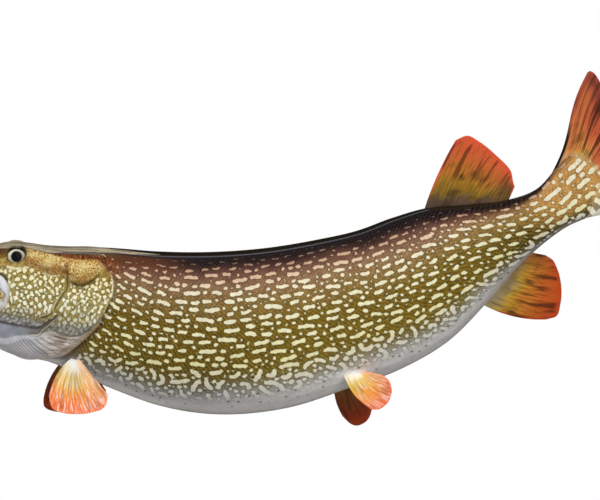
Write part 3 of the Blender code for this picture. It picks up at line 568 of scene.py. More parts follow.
class MarkMap:
    """How far each place on one side of the fish is from the edge of the nearest cream mark."""

    def __init__(self, seed):
        self.chance = np.random.default_rng(seed)
        self.s = np.arange(0, MARKS_LONG, MARK_STEP)
        self.g = np.arange(0, MARKS_HIGH + 0.01, MARK_STEP)
        self.gaps = np.full((len(self.s), len(self.g)), 0.01)
        girths = [girth_at(s, GIRTH_T) for s in self.s]
        tones = [tone_at(s, GIRTH_T) for s in self.s]
        self.turns_plain = np.array([np.interp(self.g, girth, GIRTH_T) for girth in girths])
        self.turns = np.array([np.interp(self.g, girth, tone) for girth, tone in zip(girths, tones)])
        for run in MARK_RUNS:
            self.scatter(*run)

    def cells(self, points):
        index = np.rint(points / MARK_STEP).astype(int)
        return np.clip(index[..., 0], 0, len(self.s) - 1), np.clip(index[..., 1], 0, len(self.g) - 1)

    def scatter(self, count, shortest, longest, spare, radius):
        """Lay down the marks of one size, wherever the ones before leave room."""
        places = self.chance.random((count, 2)) * (MARKS_LONG, MARKS_HIGH)
        luck = self.chance.random((count, 5))
        turn = self.turns[self.cells(places)]
        s = places[:, 0]
        behind = s - gill_at(turn)
        head = behind < 0
        fringe = ease(turn, 0.60, 0.68) * ~head
        size = (0.45 + 0.55 * ease(turn, 0.14, 0.27)) * (0.80 + 0.20 * ease(behind, 0.0, 0.09))
        size = np.where(head, 0.86, 1.06 * size) * (1 + 0.16 * fringe)
        size *= (0.86 + 0.24 * luck[:, 0]) * (1 - 0.10 * ease(s, 0.42, 0.6) + 0.25 * ease(s, 0.79, 0.84))
        room = np.where(head, 0.0010, 0.0025 - 0.0014 * fringe + 0.0022 * ease(turn, 0.28, 0.17))
        room += spare * np.where(head, 0.32, (luck[:, 1] + 0.3) * (1 - 0.6 * fringe))
        half = shortest + (longest - shortest) * luck[:, 2]
        half *= np.where(head, 0.17, size * (1 + 0.15 * fringe))
        lean = np.radians((luck[:, 3] - 0.5) * np.where(head, 300, 17 + 150 * fringe))
        lean += np.where(head, 0.0, 0.60 * np.exp(-np.clip(behind, 0, 1) / 0.035))
        ahead = self.turns_plain[self.cells(places)]
        lean += 0.6 * np.arctan((girth_at(s + 0.01, ahead) - girth_at(s - 0.01, ahead)) / 0.02)
        bend = (luck[:, 4] - 0.5) * np.where(head, 1.8, 0.55 + 2.6 * fringe)
        used = (turn > np.where(head, 0.24, 0.125)) & (turn < np.where(head, 0.66, 0.79))
        used &= (s > 0.02) & (s < tail_end(turn) + 0.045)
        used &= self.gaps[self.cells(places)] > radius * size + room
        steps = np.linspace(-1, 1, 5)
        for i in np.flatnonzero(used):
            way = lean[i] + bend[i] * steps
            way = np.stack([np.cos(way), np.sin(way)], 1) * half[i] / 2
            line = np.cumsum(way, 0)
            line = places[i] + line - line[2]
            thick = radius * size[i]
            if self.gaps[self.cells(line)].min() > thick + room[i]:
                self.draw(line, thick)

    def draw(self, line, thick):
        low = np.maximum(((line.min(0) - MARK_REACH) / MARK_STEP).astype(int), 0)
        high = ((line.max(0) + MARK_REACH) / MARK_STEP).astype(int) + 1
        window = (slice(low[0], high[0]), slice(low[1], high[1]))
        gap = gap_to_runs(self.s[window[0]][:, None], self.g[window[1]][None, :], line)
        self.gaps[window] = np.minimum(self.gaps[window], gap - thick)

    def read(self, s, g):
        s = s + 0.0005 * np.sin(s * 700 + 2 * np.sin(g * 530)) + 0.0003 * np.sin(g * 1500)
        g = g + 0.0005 * np.sin(s * 610 + 2 * np.sin(g * 470)) + 0.0003 * np.sin(s * 1700)
        return read_table(self.gaps, s / MARK_STEP, g / MARK_STEP)


LEFT_SEED, RIGHT_SEED = 3, 8
LEFT_MARKS, RIGHT_MARKS = MarkMap(LEFT_SEED), MarkMap(RIGHT_SEED)


def mark_gap(s, g, side):
    return np.where(side >= 0, LEFT_MARKS.read(s, g), RIGHT_MARKS.read(s, g))


# ---------------------------------------------------------------- meshes

WELD = 2e-5


def mesh_from(bm, name):
    mesh = bpy.data.meshes.new(name)
    bm.to_mesh(mesh)
    bm.free()
    return mesh


def grid_mesh(name, across, up):
    """A grid of faces, and the places of its vertices from 0 to 1."""
    bm = bmesh.new()
    bmesh.ops.create_grid(bm, x_segments=across, y_segments=up, size=0.5)
    mesh = mesh_from(bm, name)
    places = np.empty(len(mesh.vertices) * 3)
    mesh.vertices.foreach_get("co", places)
    places = places.reshape(-1, 3) + 0.5
    return mesh, places[:, 0], places[:, 1]


def set_points(mesh, points):
    mesh.vertices.foreach_set("co", np.ascontiguousarray(points, dtype=np.float32).ravel())
    mesh.update()


def corner_vertices(mesh):
    corners = np.empty(len(mesh.loops), dtype=np.int32)
    mesh.loops.foreach_get("vertex_index", corners)
    return corners


def fill_corners(mesh, data, *numbers):
    """Keep some numbers of each vertex on its faces' corners."""
    values = np.stack(np.broadcast_arrays(*numbers), 1)[corner_vertices(mesh)]
    data.foreach_set("vector", np.ascontiguousarray(values, dtype=np.float32).ravel())


def set_vectors(mesh, name, *numbers):
    fill_corners(mesh, mesh.attributes.new(name, "FLOAT_VECTOR", "CORNER").data, *numbers)


def set_unwrap(mesh, u, v):
    fill_corners(mesh, mesh.uv_layers.new(name="OFBake").uv, u, v)


def join_sheets(name, sheets):
    bm = bmesh.new()
    for sheet in sheets:
        bm.from_mesh(sheet)
        bpy.data.meshes.remove(sheet)
    bmesh.ops.remove_doubles(bm, verts=bm.verts, dist=WELD)
    bmesh.ops.recalc_face_normals(bm, faces=bm.faces)
    return mesh_from(bm, name)


def ball_mesh(name, around, up, matrix):
    """A ball with its poles on the matrix's z axis."""
    mesh, q, r = grid_mesh(name, around, up)
    azimuth, polar = 2 * math.pi * q, math.pi * r
    points = np.stack([np.sin(polar) * np.cos(azimuth), np.sin(polar) * np.sin(azimuth), np.cos(polar)], 1)
    set_points(mesh, points @ np.array(matrix.to_3x3()).T + np.array(matrix.translation))
    return join_sheets(name, [mesh])


def new_piece(name, mesh, nodes=(), materials=()):
    mesh.shade_smooth()
    piece = bpy.data.objects.new(name, mesh)
    bpy.context.scene.collection.objects.link(piece)
    for material in materials:
        mesh.materials.append(material)
    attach(piece, "root")
    if nodes:
        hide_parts(*nodes)
    return piece


# ---------------------------------------------------------------- materials


def linear(red, green, blue):
    """A colour of 0 to 255 as the linear values that a shader takes."""
    shares = np.array([red, green, blue]) / 255
    values = np.where(shares <= 0.04045, shares / 12.92, ((shares + 0.055) / 1.055) ** 2.4)
    return (*[float(value) for value in values], 1.0)


class Value:
    """A number or colour in a shader tree, which the signs of arithmetic work on."""

    def __init__(self, wiring, socket):
        self.wiring = wiring
        self.socket = socket

    def __add__(self, other):
        return self.wiring.math("ADD", self, other)

    def __mul__(self, other):
        return self.wiring.math("MULTIPLY", self, other)

    def __sub__(self, other):
        return self.wiring.math("SUBTRACT", self, other)

    def __rsub__(self, other):
        return self.wiring.math("SUBTRACT", other, self)

    def __truediv__(self, other):
        return self.wiring.math("DIVIDE", self, other)

    __radd__ = __add__
    __rmul__ = __mul__


class Wiring:
    """Adds nodes to a shader tree and joins them up."""

    def __init__(self, tree):
        self.tree = tree

    def add(self, kind, inputs, **settings):
        node = self.tree.nodes.new(kind)
        for key, value in settings.items():
            setattr(node, key, value)
        for key, value in inputs.items():
            self.feed(value, node.inputs[key])
        return node

    def feed(self, source, socket):
        if isinstance(source, Value):
            self.tree.links.new(source.socket, socket)
        else:
            socket.default_value = source

    def value(self, kind, inputs, output=0, **settings):
        """One output of a new node."""
        return Value(self, self.add(kind, inputs, **settings).outputs[output])

    def values(self, sockets):
        return {socket.name: Value(self, socket) for socket in sockets}

    def math(self, operation, *values):
        return self.value("ShaderNodeMath", dict(enumerate(values)), operation=operation)

    def stretch(self, vector, *shares):
        return self.value("ShaderNodeVectorMath", {0: vector, 1: shares}, operation="MULTIPLY")

    def split(self, vector):
        return self.values(self.add("ShaderNodeSeparateXYZ", {0: vector}).outputs).values()

    def pack(self, *values):
        return self.value("ShaderNodeCombineXYZ", dict(enumerate(values)))

    def mix(self, share, first, second, blend="MIX"):
        """Lay a second colour over the first: a value, three numbers of 0 to 255, or four linear ones."""
        if isinstance(second, tuple) and len(second) == 3:
            second = linear(*second)
        colours = {0: share, 6: first, 7: second}
        return self.value("ShaderNodeMix", colours, 2, data_type="RGBA", blend_type=blend)

    def brighten(self, colour, factor):
        return self.mix(1.0, colour, self.pack(factor, factor, factor), "MULTIPLY")

    def ease(self, value, low, high, start=0.0, end=1.0):
        """From start at low to end at high, with soft ends."""
        return self.value("ShaderNodeMapRange", dict(enumerate((value, low, high, start, end))),
                          interpolation_type="SMOOTHSTEP")

    def ramp(self, value, *stops):
        node = self.add("ShaderNodeValToRGB", {0: value})
        elements = node.color_ramp.elements
        while len(elements) < len(stops):
            elements.new(0.5)
        for element, (place, _) in zip(elements, stops):
            element.position = place
        for element, (_, colour) in zip(elements, stops):
            element.color = linear(*colour)
        return Value(self, node.outputs["Color"])

    def noise(self, vector, scale, detail, dimensions="3D"):
        return self.value("ShaderNodeTexNoise", {"Vector": vector, "Scale": scale, "Detail": detail},
                          noise_dimensions=dimensions)

    def cells(self, vector, scale, randomness):
        inputs = {"Vector": vector, "Scale": scale, "Randomness": randomness}
        return self.values(self.add("ShaderNodeTexVoronoi", inputs, voronoi_dimensions="2D").outputs)

    def attribute(self, name):
        return self.value("ShaderNodeAttribute", {}, "Vector", attribute_name=name)

    def place(self, output="Object"):
        return self.value("ShaderNodeTexCoord", {}, output)

    def bump(self, height, strength, distance, shader):
        inputs = {"Height": height, "Strength": strength, "Distance": distance}
        self.feed(self.value("ShaderNodeBump", inputs), shader["Normal"])


# The colours of the skin from the back (0) to the belly (1).
BODY_TONES = ((0.00, (16, 15, 14)), (0.06, (16, 15, 16)), (0.10, (19, 18, 28)), (0.15, (27, 19, 27)),
              (0.19, (58, 38, 38)), (0.25, (112, 77, 66)), (0.31, (140, 107, 82)), (0.39, (138, 111, 64)),
              (0.47, (114, 92, 28)), (0.60, (103, 85, 20)), (0.65, (105, 91, 40)), (0.69, (117, 110, 85)),
              (0.735, (143, 142, 137)), (0.78, (169, 167, 165)), (0.85, (195, 191, 188)),
              (1.00, (202, 198, 192)))
STALK_TONES = ((0.00, (18, 17, 20)), (0.14, (30, 22, 20)), (0.19, (50, 34, 26)), (0.24, (104, 72, 44)),
               (0.30, (164, 124, 72)), (0.42, (170, 134, 76)), (0.50, (102, 80, 26)),
               (0.62, (76, 61, 20)), (0.70, (84, 74, 41)), (0.76, (116, 112, 98)),
               (0.84, (134, 131, 122)), (1.00, (146, 142, 134)))
MARK_TONES = ((0.10, (70, 60, 62)), (0.16, (116, 92, 82)), (0.21, (186, 148, 120)),
              (0.27, (216, 186, 154)), (0.34, (231, 223, 195)), (0.50, (232, 227, 186)),
              (0.60, (228, 222, 168)), (0.66, (218, 213, 186)), (0.72, (206, 202, 190)),
              (0.78, (200, 197, 190)), (1.00, (200, 197, 188)))
HEAD_TONES = ((0.00, (96, 90, 72)), (0.13, (92, 82, 62)), (0.17, (80, 56, 36)), (0.24, (124, 86, 40)),
              (0.33, (166, 136, 62)), (0.42, (188, 170, 96)), (0.50, (172, 156, 92)),
              (0.56, (132, 122, 84)), (0.62, (130, 124, 112)), (0.72, (158, 152, 148)),
              (0.85, (176, 172, 170)), (1.00, (184, 180, 178)))
HEAD_MARK_TONES = ((0.26, (230, 204, 144)), (0.38, (244, 238, 194)), (0.48, (246, 243, 214)),
                   (0.58, (172, 170, 152)), (0.64, (142, 140, 132)))


def distances_at(*places):
    return [float(distance_at(x)) for x in places]


# Where colours change along the fish.
TAIL_BASE = distances_at(0.362, 0.418)
TAIL_TIP = distances_at(0.412, 0.440)
UNDER_JAW = distances_at(-0.262, -0.244)
BREAST = distances_at(-0.04, -0.10)
# Where the painted pool of light on the flank begins and ends.
LIT_FLANK_FROM, LIT_FLANK_TO = distances_at(-0.04, 0.10), distances_at(0.38, 0.28)
WARM_WEBS = distances_at(-0.250, -0.215)

FISH_ATTRIBUTES = ("Place", "Turn", "Masks", "Details", "Regions")
RIGHT_SIDE = 3.0  # added to the place along the fish on its right side, where the noise differs


def colours_group():
    """The pike's markings, with the shade, highlights and crown reflection painted on the head, from the
    place on the fish, the gap to a mark and the masks of the head.
    """
    group = bpy.data.node_groups.new("Pike colours", "ShaderNodeTree")
    for label in FISH_ATTRIBUTES:
        group.interface.new_socket(name=label, in_out="INPUT", socket_type="NodeSocketVector")
    for label in ("Colour", "Marks", "Gold", "Speckle", "Flank", "Lacquer"):
        kind = "NodeSocketColor" if label == "Colour" else "NodeSocketFloat"
        group.interface.new_socket(name=label, in_out="OUTPUT", socket_type=kind)
    w = Wiring(group)
    given = w.values(w.add("NodeGroupInput", {}).outputs)
    turn, throat, membrane = w.split(given["Turn"])
    head, gold, copper = w.split(given["Masks"])
    # Dark lines, mostly painted shade; pale lines, partly painted highlights; and the crown's painted
    # reflection.
    lines, pale, crown = w.split(given["Details"])
    jowl, under_jaw, isthmus = w.split(given["Regions"])
    along_body, _, gap = w.split(given["Place"])
    place = w.stretch(given["Place"], 1.0, 1.0, 0.0)
    round_tail = w.math("MODULO", along_body, RIGHT_SIDE)

    def grain(scale, detail, lengthways=1.0, crossways=1.0):
        return w.noise(w.stretch(place, lengthways, crossways, 1.0), scale, detail, "2D")

    # The cream marks, and the dark rims round them.
    tone = (grain(38, 3) - 0.5) * 0.06 + turn
    speckle = grain(900, 2)
    rough_gap = (speckle - 0.5) * 0.0004 + gap - head * 0.0003
    spots = w.ease(rough_gap, 0.0004, -0.0006) * w.ease(turn, 0.80, 0.74)
    rim = w.ease(rough_gap, 0.0015, 0.0002) * (1.0 - spots) * w.ease(turn, 0.82, 0.72, 0.0, 0.45)

    # The trunk and the tail stalk.
    stalk = w.ease(turn * 0.05 + round_tail, 0.70, 0.86)
    trunk = w.mix(stalk, w.ramp(tone, *BODY_TONES), w.ramp(tone, *STALK_TONES))
    tan = w.ease(round_tail, *TAIL_BASE) * w.ease(turn, 0.18, 0.30, 0.0, 0.80) * w.ease(turn, 0.72, 0.50)
    trunk = w.mix(tan, trunk, (222, 166, 96))
    tip = w.ease(round_tail, *TAIL_TIP) * w.ease(turn, 0.02, 0.07, 0.0, 0.85) * w.ease(turn, 0.30, 0.20)
    trunk = w.mix(tip, trunk, (176, 122, 66))
    warm = w.ease(turn, 0.09, 0.14, 0.0, 0.40) * w.ease(turn, 0.27, 0.20) * w.ease(round_tail, *BREAST)
    trunk = w.mix(warm, trunk, (122, 68, 40))
    body = w.mix(spots, trunk, w.ramp(tone, *MARK_TONES))

    # The face.
    mottle = grain(210, 4)
    cheek = w.ease(turn, 0.20, 0.28) * w.ease(turn, 0.60, 0.50)
    face = w.mix(cheek * w.ease(mottle, 0.46, 0.60, 0.0, 0.60), w.ramp(tone, *HEAD_TONES), (204, 182, 108))
    face = w.mix(cheek * w.ease(mottle, 0.44, 0.34, 0.0, 0.50), face, (96, 78, 34))
    face = w.mix(spots, face, w.ramp(tone, *HEAD_MARK_TONES))
    colour = w.mix(rim, w.mix(head, body, face), (34, 28, 16))

    # The gold of the temple and the copper round it.
    golden = w.ramp(grain(420, 3), (0.32, (128, 86, 36)), (0.42, (204, 160, 74)), (0.55, (242, 210, 126)),
                    (0.70, (255, 244, 194)))
    # Bright patches from a stretched noise are a painted sheen on the gold, which turns darker brown
    # between them.
    sheen_patches = grain(95, 2, 0.5)
    golden = w.mix(w.ease(sheen_patches, 0.52, 0.70, 0.0, 0.6), golden, (255, 238, 168))
    golden = w.mix(w.ease(sheen_patches, 0.46, 0.32, 0.0, 0.42), golden, (168, 100, 40))
    rusty = w.ease(grain(640, 2), 0.52, 0.60) * w.ease(turn, 0.22, 0.30, 0.55, 0.38)
    golden = w.mix(rusty, golden, (140, 78, 34))
    pits = w.cells(place, 620, 0.7)["Distance"]
    golden = w.mix(w.ease(pits, 0.36, 0.20, 0.0, 0.54), golden, (96, 58, 24))
    colour = w.mix(gold * 0.88, colour, golden)
    coppery = w.ramp(grain(300, 3, 1.0, 0.35), (0.35, (72, 34, 20)), (0.55, (126, 66, 34)),
                     (0.70, (170, 104, 60)))
    colour = w.mix(copper * 0.75 * (1.0 - spots), colour, coppery)

    # The jowl, the jaw and the throat. The grey-brown of the jowl and the lower gill cover, where the head
    # turns under, is painted shade, with pale smudges of its own.
    jowl_shade_and_smudges = w.ramp(grain(240, 4), (0.36, (96, 94, 86)), (0.50, (124, 124, 117)), (0.60, (150, 150, 146)),
                     (0.68, (186, 186, 182)))
    colour = w.mix(jowl * 0.92 * (1.0 - spots * 0.8), colour, jowl_shade_and_smudges)
    veil = grain(60, 3)
    bare = w.ramp(veil, (0.3, (126, 130, 138)), (0.7, (152, 156, 166)))
    # Towards its rear the underside of the jaw turns a darker grey: painted shade.
    bare = w.mix(w.ease(round_tail, *UNDER_JAW), bare, (112, 110, 108))
    colour = w.mix(under_jaw * 0.92, colour, bare)
    webs = w.ramp(veil, (0.3, (186, 185, 190)), (0.7, (212, 209, 210)))
    warm_webs = w.ramp(grain(170, 3, 0.25), (0.36, (150, 136, 124)), (0.50, (188, 175, 162)),
                       (0.64, (212, 202, 196)))
    webs = w.mix(w.ease(round_tail, *WARM_WEBS), webs, warm_webs)
    colour = w.mix(throat * 0.92, colour, webs)
    girdle = w.ramp(turn, (0.62, (106, 92, 60)), (0.71, (118, 104, 90)), (0.78, (130, 127, 122)),
                    (0.85, (172, 165, 158)), (0.92, (200, 188, 175)))
    colour = w.mix(isthmus * 0.9, colour, girdle)
    # The membrane at the mouth's corner, and the pale patch over the pelvic roots, which is partly a
    # painted highlight.
    colour = w.mix(membrane, colour, (234, 234, 238))

    # The pale crown: a painted reflection of the light above on the top of the head. It stops in patches
    # near the middle of the top, and the lacquer is thinner where it lies.
    crown = crown * w.ease(veil * 0.6 + crown, 0.50, 0.85)
    reflection_gaps = w.ease(turn, 0.055, 0.01, 0.0, 0.55) * w.ease(grain(120, 3, 0.35), 0.44, 0.60)
    crown = crown * (1.0 - reflection_gaps)
    crown_reflection_streaks = w.ramp(grain(330, 3, 0.10), (0.34, (124, 113, 94)), (0.50, (164, 152, 127)),
                     (0.66, (188, 176, 148)))
    colour = w.mix(crown * 0.9, colour, crown_reflection_streaks)

    # Pale lines, partly painted highlights, and dark lines, mostly painted shade; the freckles of the
    # belly; and where it is lighter in all.
    colour = w.mix(w.math("MINIMUM", pale, 1.0), colour, (242, 234, 192))
    colour = w.mix(lines * 0.88, colour, (38, 28, 22))
    cells = w.cells(place, 95, 1.0)
    chosen, _, _ = w.split(cells["Color"])
    freckle = w.ease(cells["Distance"], 0.21, 0.11) * w.math("GREATER_THAN", chosen, 0.55)
    freckle = freckle * w.ease(turn, 0.70, 0.74) * w.ease(turn, 0.85, 0.79) * (1.0 - head)
    colour = w.mix(freckle * 0.8, colour, (92, 84, 52))
    # A painted pool of light over the middle of the flank, strongest low on it.
    lit_flank = w.ease(round_tail, *LIT_FLANK_FROM) * w.ease(round_tail, *LIT_FLANK_TO)
    lit_flank = lit_flank * w.ease(turn, 0.24, 0.34, 0.0, 0.28)
    lit_flank = lit_flank * w.ease(turn, 0.84, 0.77) * w.ease(turn, 0.50, 0.68, 1.0, 2.6)
    chin = head * w.ease(turn, 0.55, 0.64, 0.0, 0.34)
    breast = w.ease(turn, 0.76, 0.84, 0.0, 0.28) * (1.0 - head) * w.ease(round_tail, *BREAST)
    lift = (lit_flank + chin + breast) * (1.0 - spots * 0.8) + 1.0
    flank = w.ease(turn, 0.20, 0.38) * w.ease(turn, 0.74, 0.62)
    # The lacquer is thinner where the crown's painted reflection lies.
    w.add("NodeGroupOutput", {"Colour": w.brighten(colour, lift), "Marks": spots, "Gold": gold,
                              "Speckle": speckle, "Flank": flank, "Lacquer": 1.0 - crown * 0.8})


def new_material(name, roughness, metallic=0.0, coat=1.0, coat_roughness=0.04, specular=0.0):
    """A lacquered material, with its wiring and its shader's inputs."""
    material = bpy.data.materials.new(name)
    material.use_nodes = True
    shader = material.node_tree.nodes["Principled BSDF"].inputs
    for label, value in (("Roughness", roughness), ("Metallic", metallic), ("Specular IOR Level", specular),
                         ("Coat Weight", coat), ("Coat Roughness", coat_roughness)):
        shader[label].default_value = value
    return material, Wiring(material.node_tree), shader


def pike_colours(w):
    """Place the shared markings in a material."""
    attributes = {name: w.attribute(name.lower()) for name in FISH_ATTRIBUTES}
    group = w.add("ShaderNodeGroup", {}, node_tree=bpy.data.node_groups["Pike colours"])
    for name, value in attributes.items():
        w.feed(value, group.inputs[name])
    return w.values(group.outputs)


def skin_material():
    material, w, shader = new_material("lacquered_skin", 0.42)
    marks = pike_colours(w)
    colour = w.mix(w.ease(marks["Speckle"], 0.35, 0.65, 0.30, 0.0), marks["Colour"], (30, 24, 12))
    w.feed(colour, shader["Base Color"])
    w.feed(marks["Gold"] * 0.2, shader["Metallic"])
    w.feed(marks["Lacquer"], shader["Coat Weight"])
    w.bump(marks["Speckle"], 0.35, 0.0004, shader)
    return material


def scale_material():
    """The markings, with a gold fleck in the middle of each scale and dark between the flecks."""
    material, w, shader = new_material("lacquered_scales", 0.40)
    marks = pike_colours(w)
    lengthways, crossways, chance = w.split(w.attribute("scale"))
    off = w.math("POWER", lengthways * 4.0 - 2.95, 2.0) + w.math("POWER", crossways * 1.9, 2.0)
    fleck = w.ease(w.math("SQRT", off), 1.25, 0.55)
    plain = (1.0 - marks["Marks"] * 0.85) * (marks["Flank"] * 0.85 + 0.15)
    colour = w.mix((1.0 - fleck) * (plain * 0.24), marks["Colour"], (24, 17, 3))
    colour = w.mix(fleck * (plain * 0.20), colour, (204, 164, 60))
    colour = w.brighten(colour, (chance - 0.5) * (plain * 0.34 + 0.08) + 1.0)
    w.feed(colour, shader["Base Color"])
    w.feed(plain * 0.2, shader["Metallic"])
    w.feed(marks["Lacquer"], shader["Coat Weight"])
    return material


def cloudy_material(name, roughness, scale, detail, dark, light, **settings):
    """A material whose colour drifts between two, and the noise that it follows."""
    material, w, shader = new_material(name, roughness, **settings)
    cloud = w.noise(w.place(), scale, detail)
    w.feed(w.ramp(cloud, (0.3, dark), (0.7, light)), shader["Base Color"])
    return material, w, shader, cloud


def mouth_material():
    tones = (150, 112, 104), (202, 178, 168)
    material, w, shader, cloud = cloudy_material("mouth_lining", 0.35, 120, 4, *tones)
    w.bump(cloud, 0.4, 0.001, shader)
    return material


# ---------------------------------------------------------------- skin

SKIN_DEPTH = 0.0004  # the skin lies this far inside the solids where scales cover it
BARE_GAP = 0.006  # bare zones push the marks this far away
AROUND = 256
SNOUT_ROWS = 48
BODY_RUNS = (156, 4, 110, 10)  # rows over the cheeks, the step at the gills, the trunk and its end
STEP = 0.0007
UNWRAP_EDGE, UNWRAP_SPAN = 0.01, 0.98
# The middle of the pale patch over the pelvic roots, partly a painted highlight.
PELVIC_SWELLING = (0.140, 0.788)


def pelvic_root_flesh_and_sheen(s, g):
    """1 on the pale patch over the roots of the pelvic fins: partly their pale flesh, partly a painted
    highlight on the swelling there.
    """
    middle_s, middle_g = to_girth((PELVIC_SWELLING,))
    gap_s, gap_g = s - middle_s, g - middle_g
    return 0.85 * np.exp(-((gap_s / 0.017) ** 2) - ((gap_g - 0.2 * gap_s) / 0.0055) ** 2)


def keep_fish_attributes(mesh, s, t, side):
    """Keep what the shared markings follow, and return the relief."""
    zones = skin_zones(s, t)
    g = girth_at(s, t)
    gap = mark_gap(s, g, side) + BARE_GAP * zones["bare"]
    set_vectors(mesh, "place", s + RIGHT_SIDE * (side < 0), g, gap)
    # The turn's third number holds the mouth's membrane and the pale patch over the pelvic roots, partly a
    # painted highlight.
    set_vectors(mesh, "turn", tone_at(s, t), zones["throat"], np.maximum(zones["membrane"], pelvic_root_flesh_and_sheen(s, g)))
    # Details: dark lines, mostly painted shade; pale lines, partly painted highlights; and the crown's
    # painted reflection.
    for name, labels in (("masks", ("head", "gold", "copper")), ("details", ("lines", "pale", "crown")),
                         ("regions", ("jowl", "under_jaw", "isthmus"))):
        set_vectors(mesh, name, *[zones[label] for label in labels])
    return zones["height"]


def split_around(w):
    """Turns and sides from a place round the body: 0 is the back, 1 the left lip, 2 the belly."""
    return np.where(w > 1, 1 - np.abs(w - 2) / 2, np.abs(w) / 2), np.where((w >= 0) & (w <= 2), 1.0, -1.0)


def coat_share(s, t):
    """1 where scales cover the skin of the trunk."""
    return ease(s - gill_at(t), 0.0, 0.004) * ease(tail_end(t) + 0.004 - s, 0.0, 0.004)


def along_unwrap(s):
    return UNWRAP_EDGE + UNWRAP_SPAN * s / (LENGTH + 0.01)


def skin_sheet(s, w, mesh, upper=None):
    t, side = split_around(w)
    height = keep_fish_attributes(mesh, s, t, side)
    set_points(mesh, skin_point(s, t, side, height - SKIN_DEPTH * coat_share(s, t), upper))
    set_unwrap(mesh, along_unwrap(s), UNWRAP_EDGE + 0.90 * (w + 1) / 4)
    return mesh


def snout_grid(upper):
    """A sheet from the tip of a jaw to the mouth's corner, and from its right side to its left."""
    mesh, f, v = grid_mesh("snout", SNOUT_ROWS, AROUND // 2)
    start = UPPER_JAW_SHORTER if upper else 0.0
    return mesh, f, v, start + (MOUTH_CORNER - start) * f**1.5, np.full(len(f), upper)


def jaw_sheet(upper):
    mesh, _, v, s, which = snout_grid(upper)
    return skin_sheet(s, v * 2 - 1 if upper else v * 2 + 1, mesh, which)


def mouth_sheet(upper):
    """The palate or the floor of the mouth."""
    mesh, f, v, s, which = snout_grid(upper)
    w = v * 2 - 1
    lip_t = np.abs(w) / 2
    lip_across, _ = across_and_up(s, lip_t if upper else 1 - lip_t, which, 0.0)
    widest, _ = across_and_up(s, np.full(len(s), 0.5), which, 0.0)
    across = np.sign(w) * lip_across / np.maximum(widest, 1e-6)
    across = np.where(widest > 1e-6, np.clip(across, -1, 1), w)
    set_points(mesh, mouth_point(s, across, which))
    keep_fish_attributes(mesh, s, *split_around(w if upper else w + 2))
    set_unwrap(mesh, UNWRAP_EDGE + UNWRAP_SPAN * f, (0.93 if upper else 0.965) + 0.03 * v)
    mesh.polygons.foreach_set("material_index", np.ones(len(mesh.polygons), dtype=np.int32))
    return mesh


def body_sheet():
    """From the mouth's corner over the cheeks, the step at the gill openings and the trunk to the tail."""
    mesh, f, v = grid_mesh("body", sum(BODY_RUNS), AROUND)
    row = f * sum(BODY_RUNS)
    w = v * 4 - 1
    t, _ = split_around(w)
    knots = np.cumsum((0, *BODY_RUNS))
    gill, end = gill_at(t), tail_end(t)
    lines = (np.full(len(t), MOUTH_CORNER), gill - STEP, gill + STEP, end - 0.002, end + 0.010)
    s = np.zeros(len(t))
    for i, count in enumerate(BODY_RUNS):
        share = np.clip((row - knots[i]) / count, 0, 1)
        inside = (row >= knots[i]) & (row <= knots[i + 1])
        s = np.where(inside, lines[i] + (lines[i + 1] - lines[i]) * share, s)
    return skin_sheet(s, w, mesh)


class PIKE_OT_skin(bpy.types.Operator):
    """One skin over the head, jaw, gill covers and trunk, with the head's folds and the mouth's lining"""

    bl_idname = "pike.skin"
    bl_label = "Skin"

    def execute(self, context):
        sheets = [jaw_sheet(True), jaw_sheet(False), mouth_sheet(True), mouth_sheet(False), body_sheet()]
        nodes = ("head", "lower_jaw", "gill_cover_left", "gill_cover_right", "trunk_front", "trunk_rear",
                 "tail_stalk")
        new_piece("skin", join_sheets("skin", sheets), nodes, (skin_material(), mouth_material()))
        return {"FINISHED"}


# ---------------------------------------------------------------- scales

# One scale as (lengthways, crossways, lift) points: its root is tucked in, and its rear edge stands out.
SCALE_TOP = ((0.0, -0.55, -0.30), (0.0, 0.55, -0.30), (0.45, -1.0, -0.05), (0.45, 0.0, 0.45),
             (0.45, 1.0, -0.05), (0.80, -0.80, 0.45), (0.80, 0.0, 0.95), (0.80, 0.80, 0.45),
             (0.97, -0.42, 0.80), (0.97, 0.42, 0.80), (1.04, 0.0, 1.0))
SCALE_RIM = (5, 8, 10, 9, 7)  # the points of the rear edge, where a wall turns down to the skin
RIM_TUCK, RIM_DEPTH = 0.03, -0.9  # how far the wall's foot lies forward, and its lift
SCALE_FACES = ((0, 1, 3), (0, 3, 2), (1, 4, 3), (2, 3, 5), (3, 4, 7), (3, 6, 5), (3, 7, 6), (5, 6, 8),
               (6, 7, 9), (6, 9, 10), (6, 10, 8))
WALL_FACES = ((11, 12, 17), (11, 17, 16), (12, 13, 18), (12, 18, 17), (13, 14, 18), (14, 15, 19),
              (14, 19, 18), (15, 20, 19))
SCALE_SPREAD = 1.67  # from one scale of a row to the next, in rows
SCALE_WIDTH = 0.58  # half of a scale's width, as a share of the room it has in its row
TRUNK_SCALE_LENGTH, FACE_SCALE_LENGTH = 2.5, 2.3  # in rows
TRUNK_PARTS = 3
ROW_SEED, TRUNK_SEED, FACE_SEED = 17, 11, 23
TAIL_COAT = 0.012  # the coat runs this far past the end of the trunk
FACE_SCALES_FROM = -0.272
FACE_ROW = 60  # more scales than any row of the face has room for


def scale_template():
    """A small shield with a rim turned down to the skin, as vertex places and triangles."""
    top = np.array(SCALE_TOP)
    rim = top[list(SCALE_RIM)]
    foot = np.stack([rim[:, 0] - RIM_TUCK, rim[:, 1], np.full(len(rim), RIM_DEPTH)], 1)
    return np.concatenate([top, rim, foot]), np.array(SCALE_FACES + WALL_FACES)


